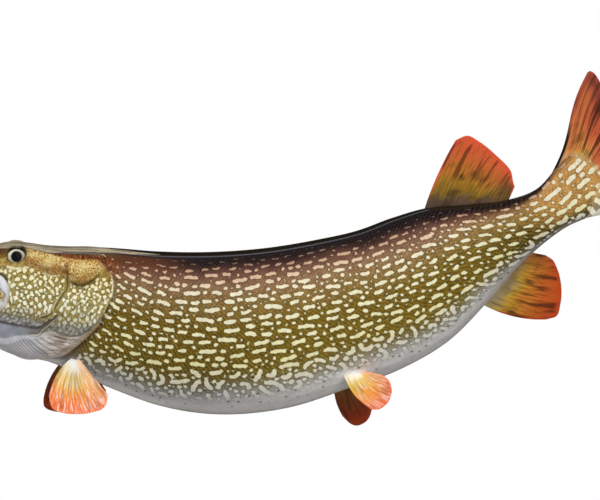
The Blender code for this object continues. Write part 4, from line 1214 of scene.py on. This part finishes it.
def tile_scales(name, table, lift, seed, trunk=True):
    """One mesh of scales, each bent to the form of the fish at its root.

    The table's columns are the root's s and t, the side, the length and half the width."""
    roots_s, roots_t, sides, length, half_width = table.T
    places, faces = scale_template()
    count, corners = len(roots_s), len(places)
    chance = np.random.default_rng(seed).random((count, 3))
    swing = ((chance[:, 0] - 0.5) * 0.16)[:, None]
    a = places[None, :, 0] + np.zeros((count, 1))
    b = places[None, :, 1] + np.zeros((count, 1))
    ahead = a * length[:, None] - b * half_width[:, None] * swing
    round_about = b * half_width[:, None] + (a - 0.5) * length[:, None] * swing
    low_t, high_t = np.maximum(roots_t - 0.01, 0), np.minimum(roots_t + 0.01, 1)
    speed = np.maximum(girth_at(roots_s, high_t) - girth_at(roots_s, low_t), 1e-4) / (high_t - low_t)
    t = roots_t[:, None] + round_about / speed[:, None]
    side = (np.where(t < 0, -1, 1) * np.where(t > 1, -1, 1) * sides[:, None]).ravel()
    t = np.abs(t)
    t = np.where(t > 1, 2 - t, t).ravel()
    s = (roots_s[:, None] + ahead).ravel()
    stands = np.ones(count)
    if trunk:
        stands = 0.12 + 0.88 * ease(roots_t, 0.13, 0.24) * ease(0.80 - roots_t, 0.0, 0.14)
    grow = skin_zones(s, t)["height"] - SKIN_DEPTH * 0.6 * trunk
    grow = grow + (places[None, :, 2] * stands[:, None]).ravel() * lift
    points = skin_point(s, t, side, grow, t <= 0.5)
    every = faces[None] + (np.arange(count) * corners)[:, None, None]
    every = np.where(sides[:, None, None] > 0, every[:, :, ::-1], every)
    mesh = bpy.data.meshes.new(name)
    mesh.from_pydata(points.tolist(), [], every.reshape(-1, 3).tolist())
    mesh.update()
    keep_fish_attributes(mesh, s, t, side)
    set_vectors(mesh, "scale", a.ravel(), b.ravel(), chance[:, 1].repeat(corners))
    around = np.where(sides > 0, roots_t, 2 - roots_t) / 2
    u = along_unwrap(roots_s[:, None]) + (a - 0.5) * 0.003
    v = UNWRAP_EDGE + UNWRAP_SPAN * around[:, None] + b * 0.0015
    set_unwrap(mesh, u.ravel(), v.ravel())
    return mesh


def scales_table(rows):
    """The rows of both sides as one table for tile_scales."""
    return np.concatenate([
        np.stack(np.broadcast_arrays(s, t, side, length, width), 1)
        for s, t, length, width in rows for side in (1.0, -1.0)
    ])


def trunk_rows(pitch):
    """Rows that follow the gill openings in front and the end of the trunk at the rear."""
    first, last = gill_at(0.5), tail_end(0.5) + TAIL_COAT
    rows = int(round((last - first) / pitch))
    chance = np.random.default_rng(ROW_SEED)
    for row in range(rows):
        middle = first + (last - first) * row / rows
        half_girth = float(girth_at(np.array([middle]), np.array([1.0]))[0])
        count = max(6, int(round(half_girth / (pitch * SCALE_SPREAD))))
        t = turn_at_girth(middle, (np.arange(count) + (0.25 if row % 2 else 0.75)) / count * half_girth)
        apart = (tail_end(t) + TAIL_COAT - gill_at(t)) / rows
        s = gill_at(t) + apart * (row - 0.35 + 0.24 * (chance.random(count) - 0.5))
        yield s, t, apart * TRUNK_SCALE_LENGTH, half_girth / count * SCALE_WIDTH


def face_rows(pitch):
    for row, s in enumerate(np.arange(distance_at(FACE_SCALES_FROM), gill_at(0.44), pitch)):
        g = (np.arange(FACE_ROW) + (0.25 if row % 2 else 0.75)) * pitch * SCALE_SPREAD
        t = turn_at_girth(s, g[g < girth_at(np.array([s]), np.array([0.55]))[0]])
        t = t[skin_zones(np.full(len(t), s), t)["scaled"] > 0.5]
        yield s, t, pitch * FACE_SCALE_LENGTH, pitch * SCALE_SPREAD * SCALE_WIDTH


class PIKE_OT_scales(bpy.types.Operator):
    """Overlapping scales over the trunk and smaller ones over the cheeks and the tops of the gill covers"""

    bl_idname = "pike.scales"
    bl_label = "Scales"

    def execute(self, context):
        sizes = context.scene.pike_sizes
        material = scale_material()
        table = scales_table(trunk_rows(sizes.scale_pitch))
        for i in range(TRUNK_PARTS):
            name = f"trunk_scales_{i + 1}"
            mesh = tile_scales(name, table[i::TRUNK_PARTS], sizes.scale_lift, TRUNK_SEED + i)
            new_piece(name, mesh, (), (material,))
        table = scales_table(face_rows(sizes.face_pitch))
        mesh = tile_scales("face_scales", table, sizes.face_lift, FACE_SEED, False)
        new_piece("face_scales", mesh, (), (material,))
        return {"FINISHED"}


# ---------------------------------------------------------------- fins

FIN_ROOT_DEPTH = 0.005
FIN_BOW = 0.006
TAIL_SWEEP = 0.003
FIN_LEAN = 0.06
PAIRED_THICKNESS = 0.0030
THICKNESS_LEVELS = 40
TAIL_LEAN = 0.16
DORSAL_ROOT_X = (0.242, 0.346)
DORSAL_RAYS = ((0, 66, 0.099), (0.12, 65, 0.1035), (0.25, 62, 0.0965), (0.5, 58, 0.0778),
               (0.75, 54, 0.0545), (1, 66, 0.023))
ANAL_ROOT_X = (0.320, 0.379)
ANAL_RAYS = ((0, -14, 0.084), (0.12, -16, 0.090), (0.3, -15, 0.084), (0.55, -12, 0.069), (0.78, -7, 0.0485),
             (0.92, -7, 0.034), (1, -10, 0.022))
TAIL_AXIS = math.radians(38)
TAIL_ROOT = (0.4016, 0.1287)
TAIL_ROOT_HALF = 0.0342
TAIL_ROOT_ALONG = (0.033, 0.025)
TAIL_RAYS = ((0, 0, 0.055), (0.25, 14.5, 0.070), (0.5, 24, 0.094), (0.8, 30.5, 0.119), (1, 33, 0.135))
PairedFin = namedtuple("PairedFin", "name side root rays spread")
PAIRED_FINS = (
    PairedFin("pectoral_fin_left", 1, ((-0.1945, 0.764), (-0.1905, 0.753)),
              ((0, -121.5, 0.056), (0.1, -113.5, 0.0665), (0.28, -103, 0.0698), (0.5, -88, 0.0703),
               (0.7, -73, 0.0712), (0.87, -59, 0.0708), (1, -49.5, 0.061)),
              0.35),
    PairedFin("pectoral_fin_right", -1, ((-0.195, 0.80), (-0.180, 0.775)),
              ((0, -122, 0.066), (0.1, -118.5, 0.0755), (0.25, -110, 0.0775), (0.5, -93, 0.070),
               (0.8, -73, 0.064), (1, -57, 0.054)),
              0.30),
    PairedFin("pelvic_fin_left", 1, ((0.1267, 0.776), (0.148, 0.812)),
              ((0, -52, 0.0565), (0.12, -50.5, 0.058), (0.3, -48, 0.0586), (0.55, -38, 0.0552),
               (0.75, -27, 0.0466), (0.9, -17, 0.0353), (1, -11, 0.0243)),
              0.55),
    PairedFin("pelvic_fin_right", -1, ((0.121, 0.795), (0.136, 0.785)),
              ((0, -82, 0.059), (0.2, -77, 0.0725), (0.5, -71, 0.0775), (0.8, -63, 0.070), (1, -54, 0.052)),
              0.25),
)

# A fin's colours from its root to its edge, its rim, its rear part, and how it is streaked: how strong the
# blotches are, how strong the streaks are, how long they are, where along the rays they begin, and how
# strong the painted glints of the lacquer are.
FinLook = namedtuple("FinLook", "tones rim rear blotch streak length start white")
# The far fins' own red-brown, darkened with painted shade, as they lie behind the body and the near fins.
FAR_SHADED_RED = ((0.0, (126, 106, 46)), (0.3, (120, 84, 28)), (0.6, (116, 58, 18)), (0.85, (128, 47, 16)),
           (1.0, (162, 60, 26)))
FIN_LOOKS = {
    "dorsal_fin": FinLook(
        ((0.0, (84, 66, 56)), (0.16, (92, 72, 54)), (0.25, (126, 98, 34)), (0.42, (160, 114, 36)),
         (0.58, (182, 108, 44)), (0.75, (196, 98, 50)), (1.0, (210, 86, 50))),
        (212, 82, 50), (96, 72, 44), 0.60, 0.76, 14.0, 0.34, 0.0),
    "anal_fin": FinLook(
        ((0.0, (170, 154, 124)), (0.15, (172, 148, 92)), (0.3, (184, 142, 44)), (0.5, (192, 116, 40)),
         (0.7, (188, 90, 32)), (1.0, (184, 70, 26))),
        (190, 66, 26), (170, 100, 40), 0.35, 0.86, 18.0, 0.26, 0.0),
    "tail_fin": FinLook(
        ((0.0, (206, 176, 118)), (0.12, (184, 154, 70)), (0.26, (200, 160, 72)), (0.38, (206, 132, 66)),
         (0.55, (208, 104, 64)), (0.75, (192, 86, 56)), (0.88, (146, 64, 50)), (1.0, (104, 48, 42))),
        (160, 70, 50), (206, 116, 66), 0.40, 0.95, 7.0, 0.22, 0.0),
    "pectoral_fin_left": FinLook(
        ((0.0, (226, 226, 230)), (0.18, (232, 228, 216)), (0.36, (240, 212, 134)), (0.52, (242, 186, 90)),
         (0.68, (244, 152, 70)), (0.84, (246, 134, 72)), (1.0, (248, 120, 76))),
        (250, 128, 74), (244, 180, 126), 0.0, 0.42, 18.0, 0.18, 0.50),
    "pectoral_fin_right": FinLook(FAR_SHADED_RED, (120, 44, 22), (110, 44, 20), 0.4, 0.6, 30.0, 0.3, 0.0),
    "pelvic_fin_left": FinLook(
        ((0.0, (248, 246, 242)), (0.10, (242, 234, 212)), (0.24, (224, 190, 96)), (0.36, (226, 178, 70)),
         (0.6, (238, 156, 70)), (0.82, (242, 138, 84)), (1.0, (240, 118, 72))),
        (240, 116, 70), (236, 160, 110), 0.0, 0.34, 30.0, 0.25, 0.38),
    "pelvic_fin_right": FinLook(FAR_SHADED_RED, (146, 52, 20), (110, 40, 14), 0.4, 0.6, 26.0, 0.25, 0.0),
}
FIN_RAY_COUNT = {"dorsal_fin": 21, "anal_fin": 17, "tail_fin": 38, "pectoral_fin_left": 15,
                 "pectoral_fin_right": 15, "pelvic_fin_left": 11, "pelvic_fin_right": 11}


def forward_bow(q, r):
    return FIN_BOW * 4 * r * (1 - r) * (1 - q)


def tail_bow(q, r):
    return -TAIL_SWEEP * np.sin(2 * math.pi * r) * (2 * q - 1)


def crest_root(t, x_ends):
    s_front, s_rear = crest_distance(t, x_ends[0]), crest_distance(t, x_ends[1])

    def root(q):
        s = s_front + (s_rear - s_front) * q
        _, _, up = axes_at(s)
        return skin_point(s, t) - up * (FIN_ROOT_DEPTH if t < 0.5 else -FIN_ROOT_DEPTH)

    return root


def tail_root(q):
    axis = np.array([math.cos(TAIL_AXIS), 0, math.sin(TAIL_AXIS)])
    upward = np.array([-math.sin(TAIL_AXIS), 0, math.cos(TAIL_AXIS)])
    edge = 2 * q - 1
    ahead = TAIL_ROOT_ALONG[0] - 0.004 + TAIL_ROOT_ALONG[1] * np.sqrt(np.clip(1 - edge**2, 0, 1))
    start = np.array([TAIL_ROOT[0], 0, TAIL_ROOT[1]])
    points = start + axis * ahead[:, None] + upward * (TAIL_ROOT_HALF * edge)[:, None]
    points[:, 1] = along("y", distance_at(points[:, 0]))
    return points


def paired_root(fin):
    (front_x, front_t), (rear_x, rear_t) = fin.root

    def root(q):
        s = distance_at(front_x + (rear_x - front_x) * q)
        t = front_t + (rear_t - front_t) * q
        surface = skin_point(s, t, fin.side)
        inwards = skin_point(s, t, fin.side, grow=-FIN_ROOT_DEPTH) - surface
        return surface + inwards / np.linalg.norm(inwards, axis=1)[:, None] * FIN_ROOT_DEPTH

    return root


def tail_rays():
    rays = [(0.5 - place / 2, -angle, length) for place, angle, length in TAIL_RAYS[:0:-1]]
    rays += [(0.5 + place / 2, angle, length) for place, angle, length in TAIL_RAYS]
    return [(place, angle + math.degrees(TAIL_AXIS), length) for place, angle, length in rays]


def ray_ridges(q, r, count):
    """Ridges along a fin's rays, which fork once halfway out: 0 between them and 1 along their middles."""
    single = np.abs(np.sin(math.pi * count * q))
    forked = np.abs(np.sin(2 * math.pi * count * q))
    outer = ease(r, 0.42, 0.62)
    return (single * (1 - outer) + forked * outer) ** 0.7


def keep_tail_marks(mesh, points):
    """Carry the stalk's markings on over the root of the tail fin."""
    fine = np.linspace(distance_at(0.37), LENGTH, 400)
    spine = np.stack([along("x", fine), along("z", fine)], 1)
    nearest = np.argmin(((points[:, None, (0, 2)] - spine[None]) ** 2).sum(2), 1)
    s = fine[nearest]
    slant = np.radians(along("slant", s))
    off = points[:, (0, 2)] - spine[nearest]
    up = -off[:, 0] * np.sin(slant) + off[:, 1] * np.cos(slant)
    past = off[:, 0] * np.cos(slant) + off[:, 1] * np.sin(slant)
    t = np.where(up > 0, 0.5 - np.clip(up / along("above", s), 0, 1) * 0.30,
                 0.5 + np.clip(-up / along("below", s), 0, 1) * 0.36)
    keep_fish_attributes(mesh, s + np.clip(past, 0, 1), t, np.ones(len(s)))


def fin_number(name):
    """A number of its own for each fin, which sets its streaks apart."""
    return float(sum(map(ord, name)) % 97)


def fan_fin(name, root, rays, out_lean, bow, thickness=0.0036):
    """A fin whose rays, given as (place, angle, length), fan out from its root."""
    places, angles, lengths = (np.array(column, float) for column in zip(*rays))
    count = FIN_RAY_COUNT[name]
    mesh, q, r = grid_mesh(name, count * 8, 44)
    angle = np.radians(smooth(places, angles, q))
    ridge = ray_ridges(q, r, count)
    ragged = 1 + 0.006 * (ray_ridges(q, np.ones_like(q), count) - 0.5) * ease(r, 0.7, 1.0)
    length = smooth(places, lengths, q) * ragged
    way = np.stack([np.cos(angle), np.zeros_like(q), np.sin(angle)], 1)
    square = np.stack([-np.sin(angle), np.zeros_like(q), np.cos(angle)], 1)
    points = root(q) + way * (r * length)[:, None] + square * bow(q, r)[:, None]
    wave = 0.0014 * np.sin(q * 9 + r * 3) * ease(r, 0.3, 1.0)
    points[:, 1] += out_lean * r * length + wave
    set_points(mesh, points)
    if name == "tail_fin":
        keep_tail_marks(mesh, points)
    set_vectors(mesh, "ray", q, r, 1 - (1 - ridge) * ease(r, 0.05, 0.35))
    set_vectors(mesh, "fin", q * count, r * length, fin_number(name))
    set_unwrap(mesh, UNWRAP_EDGE + UNWRAP_SPAN * q, UNWRAP_EDGE + 0.48 * r)
    piece = new_piece(name, mesh, (name,), (fin_material(name),))
    taper = 1 - 0.80 * ease(r, 0.0, 0.75) - 0.08 * ease(r, 0.75, 1.0)
    fold = 0.44 * ease(r, 0.12, 0.50)
    levels = np.round(taper * (1 - fold + fold * ridge) * THICKNESS_LEVELS)
    group = piece.vertex_groups.new(name="thickness")
    for level in range(1, THICKNESS_LEVELS + 1):
        chosen = np.flatnonzero(levels == level)
        if len(chosen):
            group.add(chosen.tolist(), level / THICKNESS_LEVELS, "REPLACE")
    wall = piece.modifiers.new("thickness", "SOLIDIFY")
    wall.thickness = thickness
    wall.offset = 0.0
    wall.vertex_group = "thickness"


def fin_material(name):
    look = FIN_LOOKS[name]
    tail = name == "tail_fin"
    material, w, shader = new_material(f"{name}_rays", 0.40, coat=0.7, coat_roughness=0.12)
    q, r, ridge = w.split(w.attribute("ray"))
    across, out, _ = w.split(w.attribute("fin"))

    def texture(wide, long, shift, detail=3):
        place = w.pack(across * wide, out * long, fin_number(name) + shift)
        return w.noise(place, 1, detail)

    place = (texture(0.35, 45.0, 0.0) - 0.5) * 0.36 + r
    rear = w.ease(q, 0.84 if tail else 0.55, 0.95) * w.ease(r, 1.0, 0.70, 0.0, 0.85)
    colour = w.mix(rear, w.ramp(place, *look.tones), look.rear)
    blotch = w.ease(texture(0.24, 52.0, 5.0), 0.50, 0.66) * w.ease(r, 0.80, 0.45)
    colour = w.mix(blotch * look.blotch, colour, (58, 40, 22))
    rear_edge = w.ease(q, 0.97, 0.99) * w.ease(r, 0.45, 0.70, 0.0, 0.0 if look.white else 1.0)
    edge = w.math("MAXIMUM", w.ease(q, 0.045, 0.015), rear_edge)
    edge = w.math("MAXIMUM", w.ease(r, 0.92, 0.99), edge)
    rim_from = 0.50 if look.white else 0.16
    colour = w.mix(edge * w.ease(r, rim_from, rim_from + 0.24, 0.0, 0.9), colour, look.rim)
    streak = w.ease(texture(0.5 if tail else 0.8, look.length, 9.0), 0.48, 0.62, 0.0, 0.9)
    streak = streak * w.ease(r, look.start, look.start + 0.16) * w.ease(r, 0.99, 0.90)
    if tail:  # two dark bands along each lobe
        band = w.math("ABSOLUTE", w.math("ABSOLUTE", q - 0.5) - 0.426)
        band = w.ease(w.math("ABSOLUTE", band - 0.027), 0.020, 0.004) * w.ease(r, 0.15, 0.45)
        band = band * w.ease(texture(1.4, 12.0, 3.0), 0.36, 0.52, 0.2, 0.72)
        streak = w.math("MAXIMUM", streak, band)
    fine = texture(2.2, 24.0, 14.0, 4)
    thin = w.ease(fine, 0.54, 0.66, 0.0, 0.7) * w.ease(r, 0.97, 0.6, 0.15, 0.8)
    # Painted shade in the valleys between the rays.
    valley_shade = w.ease(ridge, 0.50, 0.10) * w.ease(r, 0.95, 0.3, 0.15, 0.6)
    # Painted glints, standing in for highlights on the wrinkled lacquer.
    if look.white:
        glint = w.ease(texture(2.6, 70.0, 21.0, 4), 0.51, 0.60) * w.ease(r, 0.03, 0.15)
        colour = w.mix(glint * look.white, colour, (252, 246, 240))
    dark = w.math("MAXIMUM", w.math("MAXIMUM", streak, thin), valley_shade)
    colour = w.mix(dark * look.streak, colour, (44, 26, 16))
    if tail:  # the stalk's markings run on over the root, and the rear edge is dark there
        body = w.mix(0.18, pike_colours(w)["Colour"], (240, 222, 180))
        ragged = (fine - 0.5) * 0.012 + out + w.ease(q, 0.35, 0.55, -0.012, 0.0)
        colour = w.mix(w.ease(ragged, 0.032, 0.018), colour, body)
        colour = w.mix(w.ease(q, 0.984, 0.994) * w.ease(out, 0.080, 0.045), colour, (22, 18, 22))
    w.feed(colour, shader["Base Color"])
    w.bump(fine * 0.25 + ridge, 0.4, 0.0006, shader)
    return material


class PIKE_OT_fins(bpy.types.Operator):
    """The dorsal, anal, tail and paired fins, with rays that stand proud of their webs"""

    bl_idname = "pike.fins"
    bl_label = "Fins"

    def execute(self, context):
        fan_fin("dorsal_fin", crest_root(0.0, DORSAL_ROOT_X), DORSAL_RAYS, -FIN_LEAN,
                lambda q, r: 0.5 * forward_bow(q, r))
        fan_fin("anal_fin", crest_root(1.0, ANAL_ROOT_X), ANAL_RAYS, FIN_LEAN,
                lambda q, r: -forward_bow(q, r))
        fan_fin("tail_fin", tail_root, tail_rays(), -TAIL_LEAN, tail_bow)
        for fin in PAIRED_FINS:
            fan_fin(fin.name, paired_root(fin), fin.rays, -fin.side * fin.spread,
                    lambda q, r: -forward_bow(q, r), PAIRED_THICKNESS)
        return {"FINISHED"}


# ---------------------------------------------------------------- eyes


def eye_material():
    """A large pupil in a pale iris, with painted shade towards the front and the top, and the painted shade
    of the upper eyelid as a dark crescent.
    """
    material, w, shader = new_material("glass_eye", 0.10, coat_roughness=0.0)
    forward, high, off = w.split(w.attribute("iris"))
    cosine, sine = forward / off, high / off
    grain = w.noise(w.pack(cosine * 2.5, sine * 2.5, off * 500.0), 1, 3)
    share = ((grain - 0.5) * 0.0006 + off) / EYE_RADIUS
    # Painted shade towards the front and the top, and the upper eyelid's painted shade as a dark crescent.
    shade = w.ease(sine * 0.62 + cosine * 0.78, -0.2, 1.0) * 0.45
    eyelid_shade = w.ease(forward * forward * 48.0 + high, 0.0086, 0.0093)
    colour = w.ramp(share, (0.0, (5, 6, 12)), (0.465, (10, 12, 22)), (0.495, (120, 106, 74)),
                    (0.55, (206, 200, 178)), (0.72, (222, 218, 200)), (0.78, (186, 172, 136)),
                    (0.82, (60, 50, 42)), (0.88, (20, 17, 16)))
    colour = w.mix(shade, colour, w.mix(0.5, colour, (60, 56, 50)))
    w.feed(w.mix(eyelid_shade, colour, (16, 12, 12)), shader["Base Color"])
    return material


class PIKE_OT_eyes(bpy.types.Operator):
    """Glass eyes with a pale iris and a large pupil"""

    bl_idname = "pike.eyes"
    bl_label = "Eyes"

    def execute(self, context):
        material = eye_material()
        s = distance_at(np.array([EYE_X]))
        _, left, up = (values[0] for values in axes_at(s))
        for name, side, sideways in (("eye_left", 1, EYE_SIDEWAYS), ("eye_right", -1, EYE_SIDEWAYS_RIGHT)):
            centre = to_world(s, np.array([side * sideways]), EYE_Z - along("z", s))[0]
            outwards = left * side
            turn = Vector(outwards).to_track_quat("Z", "Y").to_matrix().to_4x4()
            matrix = Matrix.Translation(centre) @ turn @ Matrix.Scale(EYE_RADIUS, 4)
            mesh = ball_mesh(name, *EYE_GRID, matrix)
            places = np.array([tuple(vert.co) for vert in mesh.vertices]) - centre
            depth = places @ outwards
            flat = places - depth[:, None] * outwards
            off = np.linalg.norm(flat, axis=1)
            high = flat @ up
            forward = flat @ np.cross(up, outwards)
            spread = np.where(depth > 0, 1, EYE_RADIUS / np.maximum(off, 1e-6))
            set_vectors(mesh, "iris", forward * spread, high * spread, np.where(depth > 0, off, EYE_RADIUS))
            sunk = np.where(high > EYE_TOP, (high - EYE_TOP) * 0.8, 0)
            set_points(mesh, places + centre - sunk[:, None] * up)
            new_piece(name, mesh, (name,), (material,))
        return {"FINISHED"}


# ---------------------------------------------------------------- teeth and tongue

# Whether it is the upper jaw, how many fangs a side has, from where to where, how tall and how thick.
TEETH = (
    (False, 12, 0.010, 0.070, 0.009, 0.0016),
    (True, 16, 0.012, 0.078, -0.004, 0.0013),
)
TEETH_SEED = 5
TOOTH_SIDEWAYS = 0.86  # as a share of the way from the middle of the mouth to the lip
TOOTH_LEAN = 0.0012
TONGUE_AT = 0.058
TONGUE_SIZE = (0.030, 0.011, 0.0045)
TONGUE_GRID = (40, 24)


def add_tooth(bm, root, height, radius):
    """A fang with a slight backward curve. It points down where the height is below 0."""
    place = Matrix.Translation(Vector(root) + Vector((0, 0, height / 2)))
    made = bmesh.ops.create_cone(bm, cap_ends=True, segments=8, radius1=radius, radius2=radius * 0.12,
                                 depth=height * 1.25, matrix=place)["verts"]
    for vert in made:
        share = (vert.co.z - root[2]) / height
        vert.co.x += TOOTH_LEAN * share * abs(share)


def teeth_mesh():
    bm = bmesh.new()
    chance = np.random.default_rng(TEETH_SEED)
    for upper, count, s_from, s_to, tall, radius in TEETH:
        for i in range(count):
            share = i / (count - 1)
            s = np.array([s_from + (s_to - s_from) * share])
            height = tall * (0.45 + 0.35 * math.sin(math.pi * share) + 0.3 * chance.random())
            height *= 1.0 if i % 2 else 0.7
            for side in (TOOTH_SIDEWAYS, -TOOTH_SIDEWAYS):
                root = mouth_point(s, np.array([side]), np.array([upper]))[0]
                add_tooth(bm, root, height, radius)
    bmesh.ops.recalc_face_normals(bm, faces=bm.faces)
    return mesh_from(bm, "teeth")


def tongue_mesh():
    root = mouth_point(np.array([TONGUE_AT]), np.array([0.0]), np.array([False]))[0]
    place = Matrix.LocRotScale(Vector(root), None, Vector(TONGUE_SIZE))
    return ball_mesh("tongue", *TONGUE_GRID, place)


class PIKE_OT_mouth(bpy.types.Operator):
    """Fangs along both jaws and a tongue on the mouth's floor"""

    bl_idname = "pike.mouth"
    bl_label = "Teeth and tongue"

    def execute(self, context):
        ivory, *_ = cloudy_material("tooth_ivory", 0.3, 700, 2, (214, 204, 170), (240, 236, 218))
        new_piece("teeth", teeth_mesh(), (), (ivory,))
        new_piece("tongue", tongue_mesh(), (), (bpy.data.materials["mouth_lining"],))
        return {"FINISHED"}


# ---------------------------------------------------------------- hanger


class PIKE_OT_hanger(bpy.types.Operator):
    """Finish the hanger block and its plate"""

    bl_idname = "pike.hanger"
    bl_label = "Hanger"

    def execute(self, context):
        wood, w, shader = new_material("sawn_softwood", 0.6, coat=0.0, specular=0.4)
        grain = w.noise(w.stretch(w.place(), 0.12, 1.0, 1.0), 190, 5)
        tones = w.ramp(grain, (0.30, (150, 108, 66)), (0.5, (190, 148, 98)), (0.7, (212, 176, 126)))
        w.feed(tones, shader["Base Color"])
        w.bump(grain, 0.3, 0.0006, shader)
        tones = (150, 152, 156), (200, 202, 204)
        steel, w, shader, spangle = cloudy_material("zinc_steel", 0.32, 160, 3, *tones,
                                                    metallic=1.0, coat=0.0, specular=0.5)
        w.feed(w.ease(spangle, 0.3, 0.7, 0.26, 0.42), shader["Roughness"])
        for node, material in (("hanger_block", wood), ("hanger_plate", steel)):
            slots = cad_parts[node].data.materials
            slots.clear()
            slots.append(material)
        return {"FINISHED"}


# ---------------------------------------------------------------- stage

FLOOR_MIDDLE_X, FLOOR_HALF = 0.09, 7.0
VIEW_Y = -0.1
FILM_WIDTH = 36
# Each lamp's place from the middle of the view, its size and its power.
LAMPS = {
    "key": ((-0.8, -2.2, 2.4), 1.2, 95.0),
    "fill": ((1.8, -3.0, 0.3), 2.0, 42.0),
    "top": ((0.2, 0.6, 2.3), 1.0, 16.0),
}


def add_floor(scene, drop):
    bm = bmesh.new()
    bmesh.ops.create_grid(bm, x_segments=1, y_segments=1, size=FLOOR_HALF,
                          matrix=Matrix.Translation((FLOOR_MIDDLE_X, 0, -drop)))
    mesh = mesh_from(bm, "floor")
    floor = bpy.data.objects.new("floor", mesh)
    scene.collection.objects.link(floor)
    material, _, shader = new_material("pale_floor", 0.8, coat=0.0)
    shader["Base Color"].default_value = linear(236, 236, 234)
    mesh.materials.append(material)
    floor.visible_glossy = False


def light_world(scene):
    """White to the camera. The lacquer mirrors a soft grey room with a bright band high behind the fish."""
    world = bpy.data.worlds.new("studio")
    scene.world = world
    world.use_nodes = True
    w = Wiring(world.node_tree)
    _, depth, height = w.split(w.place("Generated"))
    front = w.ramp(height * 0.5 + 0.5, (0.0, (110, 110, 110)), (0.46, (88, 90, 94)), (0.62, (88, 90, 96)),
                   (0.85, (60, 62, 70)), (1.0, (44, 46, 54)))
    low = w.ease(height, 0.80, 0.70) * w.ease(depth, 0.2, 0.6)
    front = w.mix(low, front, (0.012, 0.012, 0.010, 1.0))
    behind = w.ease(height, 0.76, 0.79) * w.ease(height, 0.87, 0.83) * w.ease(depth, 0.38, 0.52)
    room = w.mix(behind, front, (0.86, 0.90, 1.05, 1.0))
    seen = w.value("ShaderNodeLightPath", {}, "Is Camera Ray")
    background = world.node_tree.nodes["Background"].inputs
    w.feed(w.mix(seen, room, (1.0, 1.0, 1.0, 1.0)), background["Color"])
    background["Strength"].default_value = 1.0


class PIKE_OT_stage(bpy.types.Operator):
    """A pale floor, soft lights and the camera"""

    bl_idname = "pike.stage"
    bl_label = "Stage"

    def execute(self, context):
        scene = context.scene
        sizes = scene.pike_sizes
        add_floor(scene, sizes.floor_drop)
        light_world(scene)
        middle = Vector((sizes.view_x, VIEW_Y, sizes.view_z))
        for name, (place, size, power) in LAMPS.items():
            light = bpy.data.lights.new(name, "AREA")
            light.size = size
            light.energy = power
            lamp = bpy.data.objects.new(name, light)
            lamp.location = middle + Vector(place)
            lamp.rotation_euler = (-Vector(place)).to_track_quat("-Z", "Y").to_euler()
            lamp.visible_glossy = False
            scene.collection.objects.link(lamp)
        camera = bpy.data.cameras.new("camera")
        camera.lens = FILM_WIDTH * sizes.view_distance / sizes.view_width
        eye = bpy.data.objects.new("camera", camera)
        eye.location = middle + Vector((0, -sizes.view_distance, 0))
        eye.rotation_euler = (math.radians(90), 0, 0)
        scene.collection.objects.link(eye)
        scene.camera = eye
        scene.view_settings.view_transform = "Standard"
        return {"FINISHED"}


# ---------------------------------------------------------------- settings and panel


class PikeSizes(bpy.types.PropertyGroup):
    """Sizes that a user may change"""

    scale_pitch: FloatProperty(
        name="Scale pitch", description="From one row of trunk scales to the next", default=0.00275,
        min=0.002, max=0.01, unit="LENGTH",
    )
    scale_lift: FloatProperty(
        name="Scale lift", description="How far a scale's rear edge stands out of the skin",
        default=0.00038, min=0.0, max=0.002, unit="LENGTH",
    )
    face_pitch: FloatProperty(
        name="Face scale pitch", description="From one row of scales on the face to the next",
        default=0.0017, min=0.0012, max=0.01, unit="LENGTH",
    )
    face_lift: FloatProperty(
        name="Face scale lift", description="How far a face scale's rear edge stands out of the skin",
        default=0.00026, min=0.0, max=0.002, unit="LENGTH",
    )
    view_distance: FloatProperty(
        name="View distance", description="From the camera to the middle of the fish",
        default=4.0, unit="LENGTH",
    )
    view_width: FloatProperty(
        name="View width", description="Width of the view at the fish", default=0.75, unit="LENGTH",
    )
    view_x: FloatProperty(
        name="View middle", description="Middle of the view along the fish", default=0.09, unit="LENGTH",
    )
    view_z: FloatProperty(
        name="View height", description="Middle of the view above the hanger",
        default=0.08, unit="LENGTH",
    )
    floor_drop: FloatProperty(
        name="Floor drop", description="From the hanger down to the floor", default=0.9, unit="LENGTH",
    )


PIECES = (PIKE_OT_skin, PIKE_OT_scales, PIKE_OT_fins, PIKE_OT_eyes, PIKE_OT_mouth, PIKE_OT_hanger,
          PIKE_OT_stage)


class PIKE_PT_panel(bpy.types.Panel):
    """Lists the pieces of the pike"""

    bl_label = "Mounted Pike"
    bl_idname = "PIKE_PT_panel"
    bl_space_type = "VIEW_3D"
    bl_region_type = "UI"
    bl_category = "Pike"

    def draw(self, context):
        for name in PikeSizes.__annotations__:
            self.layout.prop(context.scene.pike_sizes, name)
        for piece in PIECES:
            self.layout.operator(piece.bl_idname)


CLASSES = (PikeSizes, *PIECES, PIKE_PT_panel)


def register():
    for made in CLASSES:
        bpy.utils.register_class(made)
    bpy.types.Scene.pike_sizes = PointerProperty(type=PikeSizes)


def unregister():
    del bpy.types.Scene.pike_sizes
    for made in reversed(CLASSES):
        bpy.utils.unregister_class(made)


def main():
    register()
    colours_group()
    for piece in PIECES:
        group, name = piece.bl_idname.split(".")
        getattr(getattr(bpy.ops, group), name)()


if __name__ == "__main__":
    main()
